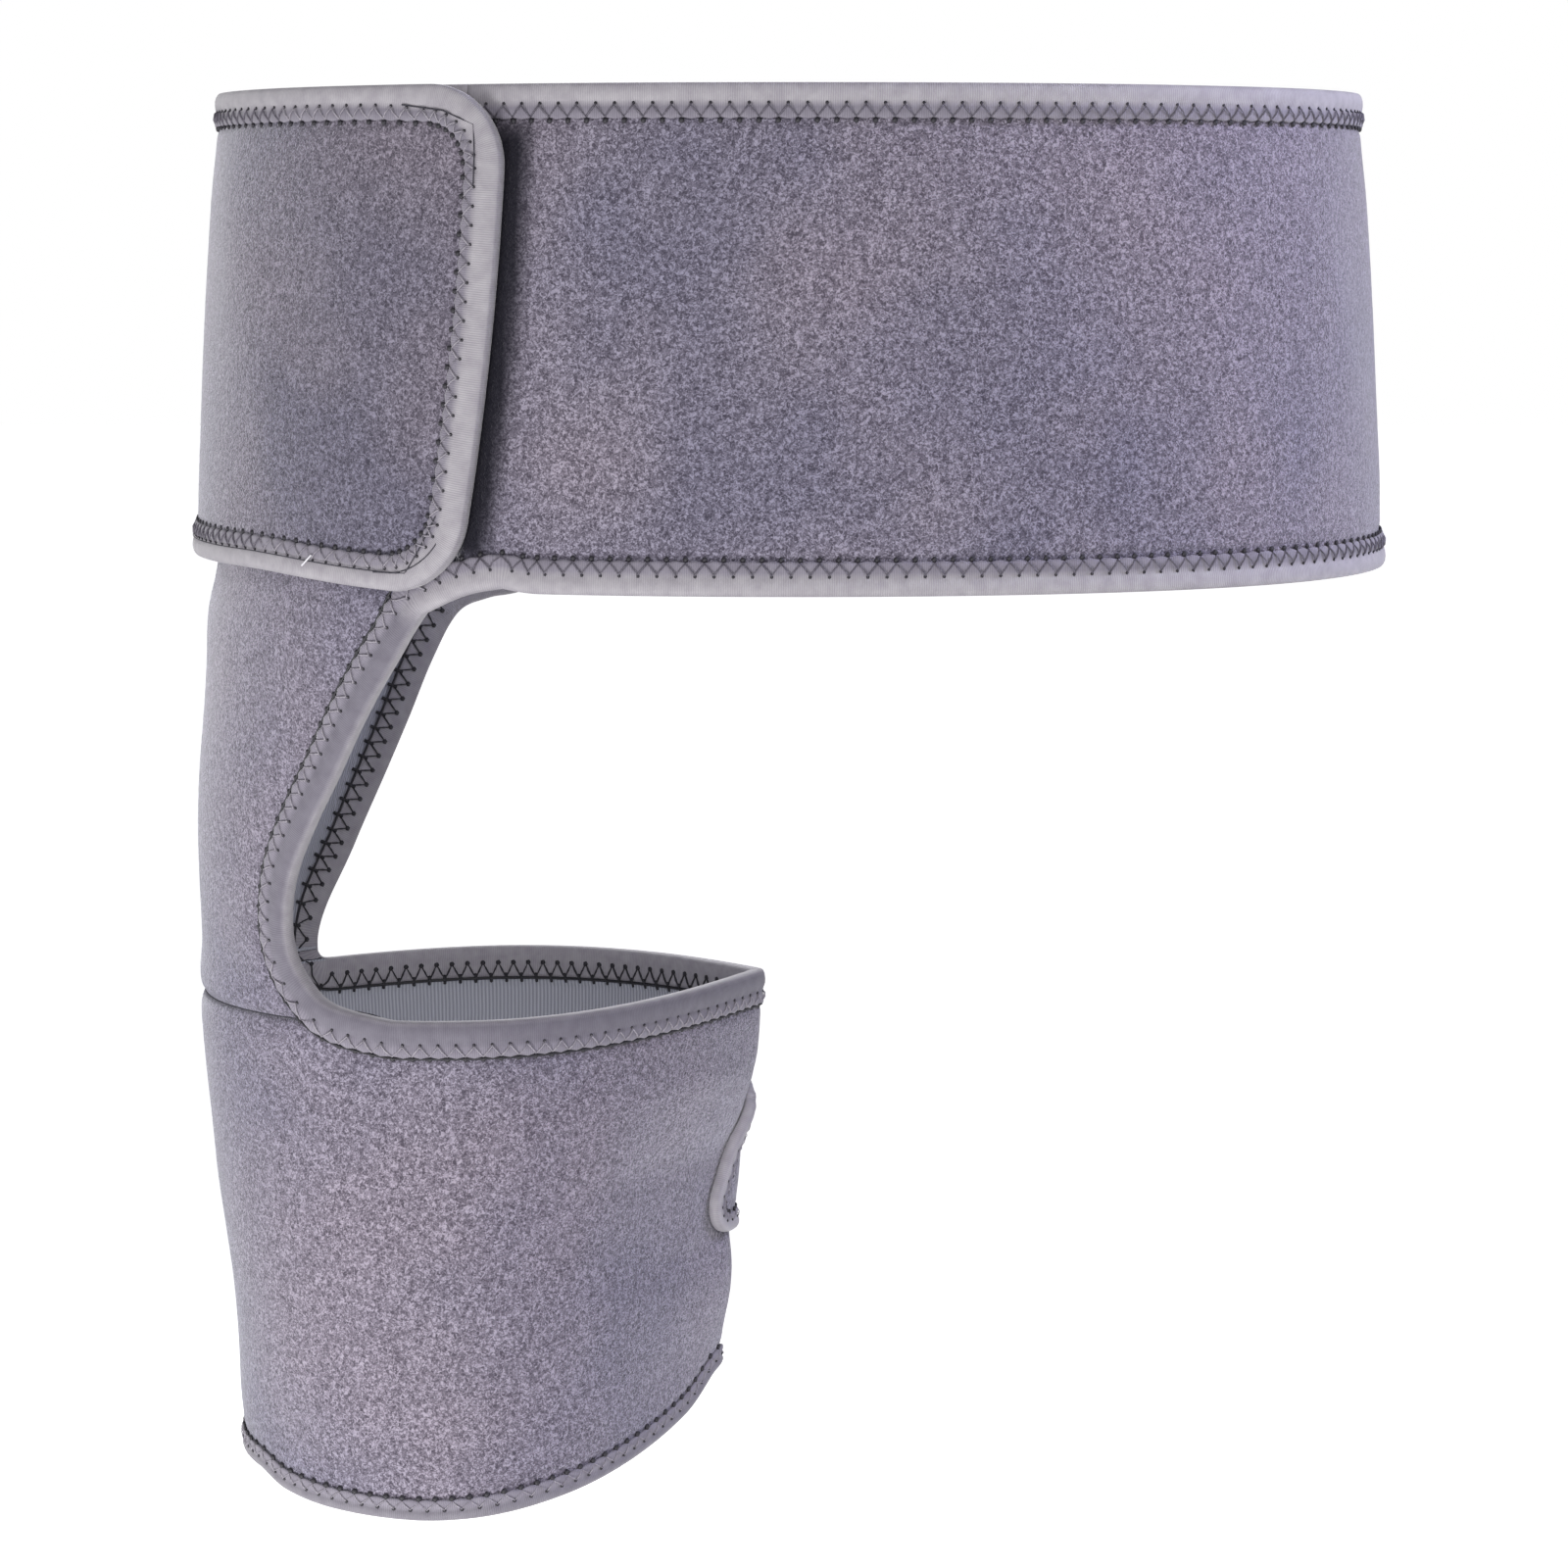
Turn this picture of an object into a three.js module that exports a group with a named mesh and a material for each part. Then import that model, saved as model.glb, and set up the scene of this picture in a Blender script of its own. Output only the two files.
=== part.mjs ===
import * as THREE from 'three';

// Groin support brace in its worn form, millimetres, +Z up. The origin is the middle of the
// waist opening at half the belt's height, -Y is the wearer's front and -X the supported hip.
// "turn" is an angle in degrees round the body: 0 at the supported hip, 90 at the front,
// 180 at the far side and 270 at the back. "level" counts the zones downwards: 0 to 1 is the
// belt, 1 to 2 the hip panel and 2 to 3 the thigh sleeve. "lift" is the distance outwards from
// the outer face of the layer that lies on the body.

// Driving dimensions of the belt
const BELT_HEIGHT = 132;
const WAIST_WIDTH = 326;
const WAIST_DEPTH = 240;
const BELT_FLARE_WIDE = 4.6;
const BELT_FLARE_DEEP = 3;
const WAIST_FULLNESS = 0.12;
const FLAP_CORNER_TOP = 22;
const FLAP_CORNER_FOOT = 18;
const FLAP_END_TURN = 61.3;
const FLAP_SLANT = 4;
const SEAM_TURN = 56.5;
const WING_END_TURN = -80;
const WING_CORNER = 14;
const LAP_RUN = 16;
const LAP_MARGIN = 1;
const NOTCH_RUN = 9;

// Driving dimensions of the hip panel and the thigh sleeve
const PANEL_DROP = 125;
const SLEEVE_LENGTH = 143;
const THIGH_WIDTH = 164.8;
const THIGH_DEPTH = 140;
const HIP_REACH = 175.9;
const FRONT_FLATNESS = 13;
const CREASE_RADIUS = 5;
const CREASE_SHARPNESS = 0.9;

// Driving dimensions of the thigh strap
const STRAP_LENGTH = 96;
const STRAP_WIDTH = 46;
const STRAP_CORNER = 9;
const STRAP_SHOULDER = 10;
const STRAP_SLANT = 60;
const STRAP_TIP_TURN = 155;
const STRAP_FOOT_DROP = 76;

// Thicknesses, tape widths and clearances
const NEOPRENE = 3;
const STRAP_NEOPRENE = 2;
const TAPE = 1;
const STRAP_TAPE = 0.8;
const BELT_TAPE_WIDTH = 9.8;
const HEM_TAPE_WIDTH = 6.5;
const STRAP_TAPE_WIDTH = 5.5;
const CLEARANCE = 0.3;
const BELT_PAD_WIDTH = 50;
const STRAP_PAD_LENGTH = 24;
const PAD_MARGIN = 3.5;

// Heights, insets and lifts that follow: the tape wraps a wall with CLEARANCE on each face, and
// the flap and the strap run outside the layer that they cover.
const BELT_TOP = BELT_HEIGHT / 2;
const BELT_FOOT = -BELT_HEIGHT / 2;
const SEAM = BELT_FOOT - PANEL_DROP;
const TAPE_INSET = TAPE + CLEARANCE;
const STRAP_INSET = STRAP_TAPE + CLEARANCE;
const FLAP_LIFT = 2 * TAPE_INSET + 2 * CLEARANCE + NEOPRENE;
const STRAP_LIFT = 2 * CLEARANCE + STRAP_TAPE + STRAP_NEOPRENE;

// How finely the walls are divided
const LONGEST_STEP = 24;
const STRAP_STEP = 4;
const LARGEST_BEND = 18;
const BELT_ROWS = 4;
const PANEL_COLUMNS = 18;
const STRAP_ROWS = 6;
const WING_ROWS = 3;
const STEPS_PER_EDGE_ROW = 1.5;
const RIM_LAST_STOP = 0.6;
const EDGE_CROWDING = 0.045;
const WING_BEND_SHARE = 0.75;
const WALKING_STRIDE = 0.6;
const TANGENT_TURN = 0.05;
const STEP_PROBE_TURN = 0.25;

// Hip panel between belt and sleeve: how far the section's middle and depth have gone over to
// the sleeve's, and how far the hip side stands out as a share of HIP_REACH. The first row lies
// on the belt, so that the panel leaves it smoothly.
const HIP_SECTIONS = [
  { level: 0.90, across: 0.00, reach: 0.948 },
  { level: 1.00, across: 0.00, reach: 0.953 },
  { level: 1.12, across: 0.11, reach: 0.973 },
  { level: 1.25, across: 0.25, reach: 0.985 },
  { level: 1.50, across: 0.50, reach: 0.9965 },
  { level: 1.75, across: 0.76, reach: 0.999 },
  { level: 1.97, across: 1.00, reach: 1.000 },
  { level: 2.00, across: 1.00, reach: 1.000 },
];

// Thigh sleeve: how far each side has drawn in as a share of THIGH_WIDTH, and the depth as a
// share of THIGH_DEPTH. The crease side is pinched where the strap pulls on it.
const SLEEVE_SECTIONS = [
  { level: 2.00, hip: 0.000, crease: 0.000, depth: 1.000 },
  { level: 2.15, hip: 0.010, crease: 0.006, depth: 0.995 },
  { level: 2.27, hip: 0.018, crease: 0.032, depth: 0.990 },
  { level: 2.38, hip: 0.023, crease: 0.062, depth: 0.985 },
  { level: 2.50, hip: 0.034, crease: 0.068, depth: 0.976 },
  { level: 2.62, hip: 0.047, crease: 0.061, depth: 0.968 },
  { level: 2.80, hip: 0.061, crease: 0.076, depth: 0.955 },
  { level: 3.00, hip: 0.072, crease: 0.085, depth: 0.940 },
];

// Finished edges of the hip panel below the belt, front and rear, top to bottom.
const PANEL_EDGES = [
  { front: 0.978, frontTurn: 56.5, rear: 1.000, rearTurn: -76.0 },
  { front: 1.030, frontTurn: 54.1, rear: 1.085, rearTurn: -69.5 },
  { front: 1.103, frontTurn: 53.3, rear: 1.148, rearTurn: -62.0 },
  { front: 1.155, frontTurn: 52.8, rear: 1.164, rearTurn: -57.6 },
  { front: 1.220, frontTurn: 52.0, rear: 1.198, rearTurn: -54.2 },
  { front: 1.310, frontTurn: 50.8, rear: 1.310, rearTurn: -53.0 },
  { front: 1.438, frontTurn: 49.2, rear: 1.450, rearTurn: -52.4 },
  { front: 1.537, frontTurn: 47.4, rear: 1.587, rearTurn: -51.3 },
  { front: 1.651, frontTurn: 45.6, rear: 1.735, rearTurn: -49.6 },
  { front: 1.733, frontTurn: 45.7, rear: 1.820, rearTurn: -48.8 },
  { front: 1.800, frontTurn: 47.3, rear: 1.880, rearTurn: -48.1 },
  { front: 1.860, frontTurn: 50.7, rear: 1.925, rearTurn: -47.6 },
  { front: 1.920, frontTurn: 56.4, rear: 1.955, rearTurn: -47.3 },
  { front: 1.962, frontTurn: 62.8, rear: 1.978, rearTurn: -47.2 },
  { front: 1.9896, frontTurn: 76.0, rear: 1.996, rearTurn: -47.3 },
];

// Finished upper edge of the sleeve, from the front of the panel round to its rear.
const RIM_LINE = [
  { turn: 76, level: 1.9896 },
  { turn: 105, level: 1.985 },
  { turn: 150, level: 1.984 },
  { turn: 180, level: 1.988 },
  { turn: 216, level: 1.996 },
  { turn: 267, level: 2.008 },
  { turn: 308, level: 2.016 },
  { turn: 312, level: 2.011 },
];

// Lower edge of the sleeve: how far down it reaches as a share of SLEEVE_LENGTH.
const HEM_LINE = [
  { turn: -180, drop: 0.828 },
  { turn: -164, drop: 0.846 },
  { turn: -150, drop: 0.888 },
  { turn: -112, drop: 0.958 },
  { turn: -75, drop: 0.990 },
  { turn: -40, drop: 0.982 },
  { turn: 0, drop: 0.958 },
  { turn: 27, drop: 0.958 },
  { turn: 40, drop: 0.980 },
  { turn: 57, drop: 0.992 },
  { turn: 77, drop: 0.996 },
  { turn: 112, drop: 0.964 },
  { turn: 149, drop: 0.894 },
  { turn: 168, drop: 0.836 },
  { turn: 180, drop: 0.828 },
];

// Shares of the sleeve's height at which its rings lie, closer together at the pinch.
const SLEEVE_RINGS = [0, 0.14, 0.24, 0.3, 0.35, 0.4, 0.45, 0.5, 0.56, 0.66, 0.8, 0.95, 1];

// Directions across a rounded corner, in degrees from the edge that leads into it.
const CORNER_STOPS = [12, 30, 50, 70, 90];

const { lerp, clamp, degToRad, radToDeg, smoothstep } = THREE.MathUtils;

// Value of one column of a table at a key, smooth through its rows and without overshoot.
function column(rows, key, name, at) {
  const last = rows.length - 1;
  const above = rows.findIndex((row) => at < row[key]);
  const i = clamp((above < 0 ? last : above) - 1, 0, last - 1);
  const slope = (k) => (rows[k + 1][name] - rows[k][name]) / (rows[k + 1][key] - rows[k][key]);
  const here = slope(i);
  const blend = (other) => (here * other > 0 ? (2 * here * other) / (here + other) : 0);
  const start = i > 0 ? blend(slope(i - 1)) : here;
  const end = i < last - 1 ? blend(slope(i + 1)) : here;
  const span = rows[i + 1][key] - rows[i][key];
  const t = clamp((at - rows[i][key]) / span, 0, 1);
  const rise = (rows[i + 1][name] - rows[i][name]) * t * t * (3 - 2 * t);
  return rows[i][name] + rise + span * t * (1 - t) * ((1 - t) * start - t * end);
}

// Height of a level.
function heightAt(level) {
  if (level <= 1) return BELT_TOP - level * BELT_HEIGHT;
  if (level <= 2) return BELT_FOOT - (level - 1) * PANEL_DROP;
  return SEAM - (level - 2) * SLEEVE_LENGTH;
}

// Horizontal section of the base layer's outer face: its middle, half width and half depth, how
// full its shoulders are, and how far its far side is drawn to a crease.
function sectionAt(z) {
  if (z >= BELT_FOOT) {
    const down = -z / BELT_TOP;
    const wide = WAIST_WIDTH / 2 + BELT_FLARE_WIDE * down;
    const deep = WAIST_DEPTH / 2 + BELT_FLARE_DEEP * down;
    return { middle: 0, wide, deep, fullness: WAIST_FULLNESS, crease: 0 };
  }
  if (z >= SEAM) {
    const level = 1 + (BELT_FOOT - z) / PANEL_DROP;
    const across = column(HIP_SECTIONS, 'level', 'across', level);
    const hip = -HIP_REACH * column(HIP_SECTIONS, 'level', 'reach', level);
    const middle = (THIGH_WIDTH / 2 - HIP_REACH) * across;
    const deep = lerp(WAIST_DEPTH / 2 + BELT_FLARE_DEEP, THIGH_DEPTH / 2, across);
    const fullness = WAIST_FULLNESS * (1 - across);
    return { middle, wide: middle - hip, deep, fullness, crease: across };
  }
  const level = 2 + (SEAM - z) / SLEEVE_LENGTH;
  const hip = -HIP_REACH + THIGH_WIDTH * column(SLEEVE_SECTIONS, 'level', 'hip', level);
  const far = -HIP_REACH + THIGH_WIDTH * (1 - column(SLEEVE_SECTIONS, 'level', 'crease', level));
  const deep = (THIGH_DEPTH / 2) * column(SLEEVE_SECTIONS, 'level', 'depth', level);
  return { middle: (hip + far) / 2, wide: (far - hip) / 2, deep, fullness: 0, crease: 1 };
}

// Point of the section's core line, which lies CREASE_RADIUS inside the outer face, so that the
// crease is round and every layer runs parallel to it.
function corePoint(turn, section) {
  const cos = Math.cos(degToRad(turn));
  const sin = Math.sin(degToRad(turn));
  const round = sin * (1 + section.fullness * cos * cos);
  const deep = section.deep - CREASE_RADIUS;
  const x = section.middle - (section.wide - CREASE_RADIUS) * cos;
  if (cos >= 0) return new THREE.Vector2(x, -deep * round);
  const lens = lerp(round, sin * Math.abs(sin), CREASE_SHARPNESS * section.crease);
  return new THREE.Vector2(x, -deep * lens + FRONT_FLATNESS * section.crease * cos * cos);
}

// Point at a turn, a height and a lift.
function facePoint(turn, z, lift = 0) {
  const section = sectionAt(z);
  const core = corePoint(turn, section);
  const behind = corePoint(turn - TANGENT_TURN, section);
  const along = corePoint(turn + TANGENT_TURN, section).sub(behind).normalize();
  const out = CREASE_RADIUS + lift;
  return new THREE.Vector3(core.x + along.y * out, core.y - along.x * out, z);
}

// Millimetres round the body for one degree of turn.
function arcPerTurn(turn, z, lift = 0) {
  return facePoint(turn + 0.5, z, lift).distanceTo(facePoint(turn - 0.5, z, lift));
}

// Turn reached by going a distance round the body at one height.
function turnAfter(turn, z, distance, lift = 0) {
  const strides = Math.ceil(Math.abs(distance) / WALKING_STRIDE);
  let reached = turn;
  for (let i = 0; i < strides; i += 1) reached += distance / strides / arcPerTurn(reached, z, lift);
  return reached;
}

// Turns from one to another, closer together where the section bends.
function turnsBetween(from, to, z, longest = LONGEST_STEP) {
  const steps = Math.round((to - from) / STEP_PROBE_TURN);
  const turns = [from];
  let used = 0;
  for (let i = 1; i < steps; i += 1) {
    const turn = lerp(from, to, i / steps);
    const here = facePoint(turn, z);
    const back = here.clone().sub(facePoint(turn - STEP_PROBE_TURN, z));
    const ahead = facePoint(turn + STEP_PROBE_TURN, z).sub(here);
    used += back.length() / longest + radToDeg(back.angleTo(ahead)) / LARGEST_BEND;
    if (used >= 1 && to - turn > 2 * STEP_PROBE_TURN) {
      turns.push(turn);
      used = 0;
    }
  }
  turns.push(to);
  return turns;
}

// Closed body from points and four-cornered facets, turned so that its faces point out.
function bodyFrom(points, facets) {
  const triangles = facets.flatMap(([a, b, c, d]) => [[a, b, c], [a, c, d]]);
  const signed = ([a, b, c]) => points[a].dot(points[b].clone().cross(points[c]));
  const volume = triangles.reduce((sum, triangle) => sum + signed(triangle), 0);
  const index = triangles.flatMap(([a, b, c]) => (volume > 0 ? [a, b, c] : [a, c, b]));
  const geometry = new THREE.BufferGeometry();
  const positions = points.flatMap((point) => point.toArray());
  geometry.setAttribute('position', new THREE.Float32BufferAttribute(positions, 3));
  geometry.setIndex(index);
  geometry.computeVertexNormals();
  return geometry;
}

// Wall of one thickness under a grid of places { turn, z, lift } on its outer face. A ring
// closes on itself round the body.
function wallFrom(grid, thickness, ring = false) {
  const rows = grid.length;
  const cols = grid[0].length;
  const places = grid.flat();
  const points = [0, thickness].flatMap((depth) => {
    return places.map((place) => facePoint(place.turn, place.z, place.lift - depth));
  });
  const id = (side, i, j) => (side * rows + i) * cols + (j % cols);
  const facets = [];
  const end = ring ? cols : cols - 1;
  const foot = rows - 1;
  for (let i = 0; i < foot; i += 1) {
    for (let j = 0; j < end; j += 1) {
      facets.push([id(0, i, j), id(0, i + 1, j), id(0, i + 1, j + 1), id(0, i, j + 1)]);
      facets.push([id(1, i, j), id(1, i, j + 1), id(1, i + 1, j + 1), id(1, i + 1, j)]);
    }
    if (!ring) {
      facets.push([id(0, i, 0), id(1, i, 0), id(1, i + 1, 0), id(0, i + 1, 0)]);
      facets.push([id(0, i, end), id(0, i + 1, end), id(1, i + 1, end), id(1, i, end)]);
    }
  }
  for (let j = 0; j < end; j += 1) {
    facets.push([id(0, 0, j), id(0, 0, j + 1), id(1, 0, j + 1), id(1, 0, j)]);
    facets.push([id(0, foot, j), id(1, foot, j), id(1, foot, j + 1), id(0, foot, j + 1)]);
  }
  return bodyFrom(points, facets);
}

// Place at a distance inwards from an edge, along the surface and square to the edge. The cloth
// side is 1 where the cloth lies left of the edge as seen from outside, else -1.
function insetPlace(place, before, after, distance, clothSide) {
  if (distance === 0) return place;
  const { turn, z, lift } = place;
  const edge = facePoint(after.turn, after.z, lift).sub(facePoint(before.turn, before.z, lift));
  const round = facePoint(turn + 0.5, z, lift).sub(facePoint(turn - 0.5, z, lift)).normalize();
  const up = facePoint(turn, z + 1, lift).sub(facePoint(turn, z, lift)).normalize();
  const inward = round.clone().cross(up).cross(edge).setLength(distance * clothSide);
  const slope = round.dot(up);
  const rise = (inward.dot(up) - slope * inward.dot(round)) / (1 - slope * slope);
  const sideways = inward.dot(round) - slope * rise;
  return { turn: turnAfter(turn, z, sideways, lift), z: z + rise * up.z, lift };
}

// Path moved inwards from a finished edge. A ring's last place is followed by its first.
function insetPath(path, distance, clothSide, ring = false) {
  const last = path.length - 1;
  return path.map((place, i) => {
    let before = path[Math.max(i - 1, 0)];
    let after = path[Math.min(i + 1, last)];
    if (ring && i === 0) before = { ...path[last], turn: path[last].turn - 360 };
    if (ring && i === last) after = { ...path[0], turn: path[0].turn + 360 };
    return insetPlace(place, before, after, distance, clothSide);
  });
}

// Binding tape folded over an edge: a channel with one leg on each face of the wall, each leg
// in as many folds as it bends. Its last end is mitred to the place where the edge runs on.
function bindingFrom(path, shape) {
  const { width, wall, clothSide, tape = TAPE, folds = 1, ring = false, runOn = null } = shape;
  const outside = [];
  const inside = [];
  for (let i = 0; i <= folds; i += 1) {
    outside.push({ inset: lerp(width, 0, i / folds), lift: CLEARANCE + tape });
    inside.push({ inset: lerp(width, tape, i / folds), lift: CLEARANCE });
  }
  const bothFaces = (corners) => {
    const inner = corners.toReversed().map(({ inset, lift }) => ({ inset, lift: -wall - lift }));
    return [...corners, ...inner];
  };
  const channel = [...bothFaces(outside), ...bothFaces(inside).toReversed()];
  const route = runOn ? [...path, runOn] : path;
  const strands = channel.map((corner) => {
    const strand = insetPath(route, corner.inset, clothSide, ring).slice(0, path.length);
    return strand.map((place) => facePoint(place.turn, place.z, place.lift + corner.lift));
  });
  const corners = channel.length;
  const last = path.length - 1;
  const points = path.flatMap((_, i) => strands.map((strand) => strand[i]));
  const id = (i, k) => (i % path.length) * corners + (k % corners);
  const facets = [];
  for (let i = 0; i < (ring ? path.length : last); i += 1) {
    for (let k = 0; k < corners; k += 1) {
      facets.push([id(i, k), id(i + 1, k), id(i + 1, k + 1), id(i, k + 1)]);
    }
  }
  for (let k = 0; !ring && k < corners / 2 - 1; k += 1) {
    const across = corners - 1 - k;
    facets.push([id(0, k), id(0, k + 1), id(0, across - 1), id(0, across)]);
    facets.push([id(last, k), id(last, across), id(last, across - 1), id(last, k + 1)]);
  }
  return bodyFrom(points, facets);
}

// The belt lies on the body, then rises over LAP_RUN degrees up to LAP_MARGIN before the wing
// that it laps.
function beltLift(turn) {
  const lapped = 360 + WING_END_TURN - LAP_MARGIN;
  return FLAP_LIFT * smoothstep(turn, lapped - LAP_RUN, lapped);
}

// Where the flap ends at a height. The turns of the flap count on past 360.
function flapEndTurn(z) {
  return 360 + FLAP_END_TURN - FLAP_SLANT * ((BELT_TOP - z) / BELT_HEIGHT) ** 2;
}

// Belt and panel meet at the seam, half of CLEARANCE to each side of it.
const BELT_SEAM = turnAfter(SEAM_TURN, 0, CLEARANCE / 2);
const PANEL_SEAM = turnAfter(SEAM_TURN, 0, -CLEARANCE / 2);

// Finished edges of the belt: along the top, down the flap's end, and along the foot.
function beltEdges() {
  const notch = (1 - PANEL_EDGES[0].front) * BELT_HEIGHT;
  const arc = arcPerTurn(FLAP_END_TURN, 0);
  const longest = Math.max(FLAP_CORNER_TOP, FLAP_CORNER_FOOT);
  const straight = turnsBetween(BELT_SEAM, flapEndTurn(BELT_FOOT) - longest / arc, BELT_FOOT);
  const top = straight.map((turn) => ({ turn, z: BELT_TOP, lift: beltLift(turn) }));
  const foot = straight.map((turn) => {
    const z = BELT_FOOT + notch * (1 - smoothstep(turn, SEAM_TURN, SEAM_TURN + NOTCH_RUN));
    return { turn, z, lift: beltLift(turn) };
  });
  for (const stop of CORNER_STOPS) {
    const away = 1 - Math.sin(degToRad(stop));
    const drop = 1 - Math.cos(degToRad(stop));
    const high = BELT_TOP - FLAP_CORNER_TOP * drop;
    const low = BELT_FOOT + FLAP_CORNER_FOOT * drop;
    top.push({ turn: flapEndTurn(high) - (FLAP_CORNER_TOP * away) / arc, z: high, lift: FLAP_LIFT });
    foot.push({ turn: flapEndTurn(low) - (FLAP_CORNER_FOOT * away) / arc, z: low, lift: FLAP_LIFT });
  }
  const end = [];
  for (let i = 1; i < BELT_ROWS; i += 1) {
    const z = lerp(top.at(-1).z, foot.at(-1).z, i / BELT_ROWS);
    end.push({ turn: flapEndTurn(z), z, lift: FLAP_LIFT });
  }
  return { top, end, foot };
}

// Finished edges of the hip panel at matched stations, from the top edge to the seam.
function panelEdges() {
  const front = [];
  const rear = [];
  const corner = WING_CORNER / arcPerTurn(WING_END_TURN, 0);
  for (const stop of [0, ...CORNER_STOPS]) {
    const z = BELT_TOP - WING_CORNER * (1 - Math.cos(degToRad(stop)));
    rear.push({ turn: WING_END_TURN + corner * (1 - Math.sin(degToRad(stop))), z, lift: 0 });
  }
  const wingFoot = heightAt(PANEL_EDGES[0].rear) + WING_CORNER;
  for (let i = 1; i <= WING_ROWS; i += 1) {
    const z = lerp(BELT_TOP - WING_CORNER, wingFoot, i / WING_ROWS);
    rear.push({ turn: WING_END_TURN, z, lift: 0 });
  }
  const frontFoot = heightAt(PANEL_EDGES[0].front);
  rear.forEach((_, i) => {
    front.push({ turn: PANEL_SEAM, z: lerp(BELT_TOP, frontFoot, i / rear.length), lift: 0 });
  });
  const line = (turn, level) => {
    return new THREE.SplineCurve(PANEL_EDGES.map((row) => new THREE.Vector2(row[turn], row[level])));
  };
  const frontLine = line('frontTurn', 'front');
  const rearLine = line('rearTurn', 'rear');
  const steps = Math.round(STEPS_PER_EDGE_ROW * (PANEL_EDGES.length - 1));
  const seamRows = front.length;
  for (let i = 0; i <= steps; i += 1) {
    const ahead = frontLine.getPoint(i / steps);
    const behind = rearLine.getPoint(i / steps);
    front.push({ turn: i === 0 ? PANEL_SEAM : ahead.x, z: heightAt(ahead.y), lift: 0 });
    rear.push({ turn: behind.x, z: heightAt(behind.y), lift: 0 });
  }
  return { front, rear, seamRows };
}

// Share of the panel's width at which a column lies, closer together at both edges.
function panelShare(column) {
  const even = column / PANEL_COLUMNS;
  return even - EDGE_CROWDING * Math.sin(2 * Math.PI * even);
}

// Turn of the panel's column between two edges. At belt height the columns stand upright, and
// only the last ones follow the wing's rounded corners.
function panelTurn(ahead, behind, share, upright) {
  if (!upright) return lerp(ahead, behind, share);
  const strayed = (behind - WING_END_TURN) * smoothstep(share, WING_BEND_SHARE, 1);
  return lerp(ahead, WING_END_TURN, share) + strayed;
}

// Finished top edge of the hip panel, from the seam to the wing's corner.
function panelTop(rear) {
  const top = [];
  for (let j = 0; j <= PANEL_COLUMNS; j += 1) {
    const turn = panelTurn(PANEL_SEAM, rear[0].turn, panelShare(j), true);
    top.push({ turn, z: BELT_TOP, lift: 0 });
  }
  return top;
}

// Finished edge of the sleeve's rim, from the panel's rear round to its front.
function rimEdge() {
  const highest = RIM_LINE.at(-2).turn;
  const last = RIM_LINE.at(-1).turn;
  const turns = turnsBetween(RIM_LINE[0].turn, highest, SEAM);
  turns.push(lerp(highest, last, RIM_LAST_STOP), last);
  const edge = turns.map((turn) => {
    return { turn: turn - 360, z: heightAt(column(RIM_LINE, 'turn', 'level', turn)), lift: 0 };
  });
  return edge.reverse();
}

// Heights of the strap's finished lower and upper edge above its foot, at a distance from its
// tip. The tip is a round corner below and a slanted, rounded shoulder above.
function strapFoot(along) {
  const before = Math.max(STRAP_CORNER - along, 0);
  return STRAP_CORNER - Math.sqrt(STRAP_CORNER ** 2 - before ** 2);
}

function strapTop(along) {
  const slant = degToRad(STRAP_SLANT);
  const tangent = STRAP_CORNER * (1 - Math.sin(slant));
  const arc = STRAP_CORNER + Math.sqrt(STRAP_CORNER ** 2 - Math.max(STRAP_CORNER - along, 0) ** 2);
  const line = STRAP_CORNER * (1 + Math.cos(slant)) + (along - tangent) * Math.tan(slant);
  const edge = along < tangent ? arc : line;
  return (edge + STRAP_WIDTH - Math.hypot(edge - STRAP_WIDTH, STRAP_SHOULDER)) / 2;
}

// Stations of the strap from its tip to its root: distance along it, turn and both heights.
function strapStations() {
  const z = SEAM - STRAP_FOOT_DROP + STRAP_WIDTH / 2;
  const station = (along) => ({ along, turn: turnAfter(STRAP_TIP_TURN, z, along) });
  const stations = CORNER_STOPS.map((stop) => station(STRAP_CORNER * (1 - Math.cos(degToRad(stop)))));
  const lapped = station(STRAP_WIDTH).turn;
  const turns = turnsBetween(stations.at(-1).turn, lapped, z, STRAP_STEP);
  turns.push(...turnsBetween(lapped, station(STRAP_LENGTH).turn, z).slice(1));
  for (const turn of turns.slice(1)) {
    const { turn: from, along } = stations.at(-1);
    const stride = facePoint(turn, z).distanceTo(facePoint(from, z));
    stations.push({ along: along + stride, turn });
  }
  return stations.map((place) => {
    const foot = SEAM - STRAP_FOOT_DROP + strapFoot(place.along);
    const top = SEAM - STRAP_FOOT_DROP + strapTop(place.along);
    return { ...place, foot, top };
  });
}

// Grid between two edges at matched stations.
function gridBetween(top, foot, rows) {
  const grid = [];
  for (let i = 0; i <= rows; i += 1) {
    grid.push(top.map((high, j) => {
      const share = i / rows;
      const turn = lerp(high.turn, foot[j].turn, share);
      return { turn, z: lerp(high.z, foot[j].z, share), lift: high.lift };
    }));
  }
  return grid;
}

const belt = beltEdges();
const beltBorder = [...belt.top, ...belt.end, ...belt.foot.toReversed()];
const panel = panelEdges();
const panelTopEdge = panelTop(panel.rear);
const panelFrontEdge = panel.front.slice(panel.seamRows).toReversed();
const rim = rimEdge();
const strap = strapStations();

// The opening's finished edge, over the panel's top, down its rear, round the rim and up its
// front. It ends at the seam, where it runs on into the belt's foot.
const openingBorder = [
  ...panelTopEdge.slice(0, -1),
  ...panel.rear,
  ...rim,
  ...panelFrontEdge.slice(1).map((place) => ({ ...place, turn: place.turn - 360 })),
];
const beltRunOn = { ...belt.foot[1], turn: belt.foot[1].turn - 360 };
const openingRunOn = panel.front[panel.seamRows + 1];

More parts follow.
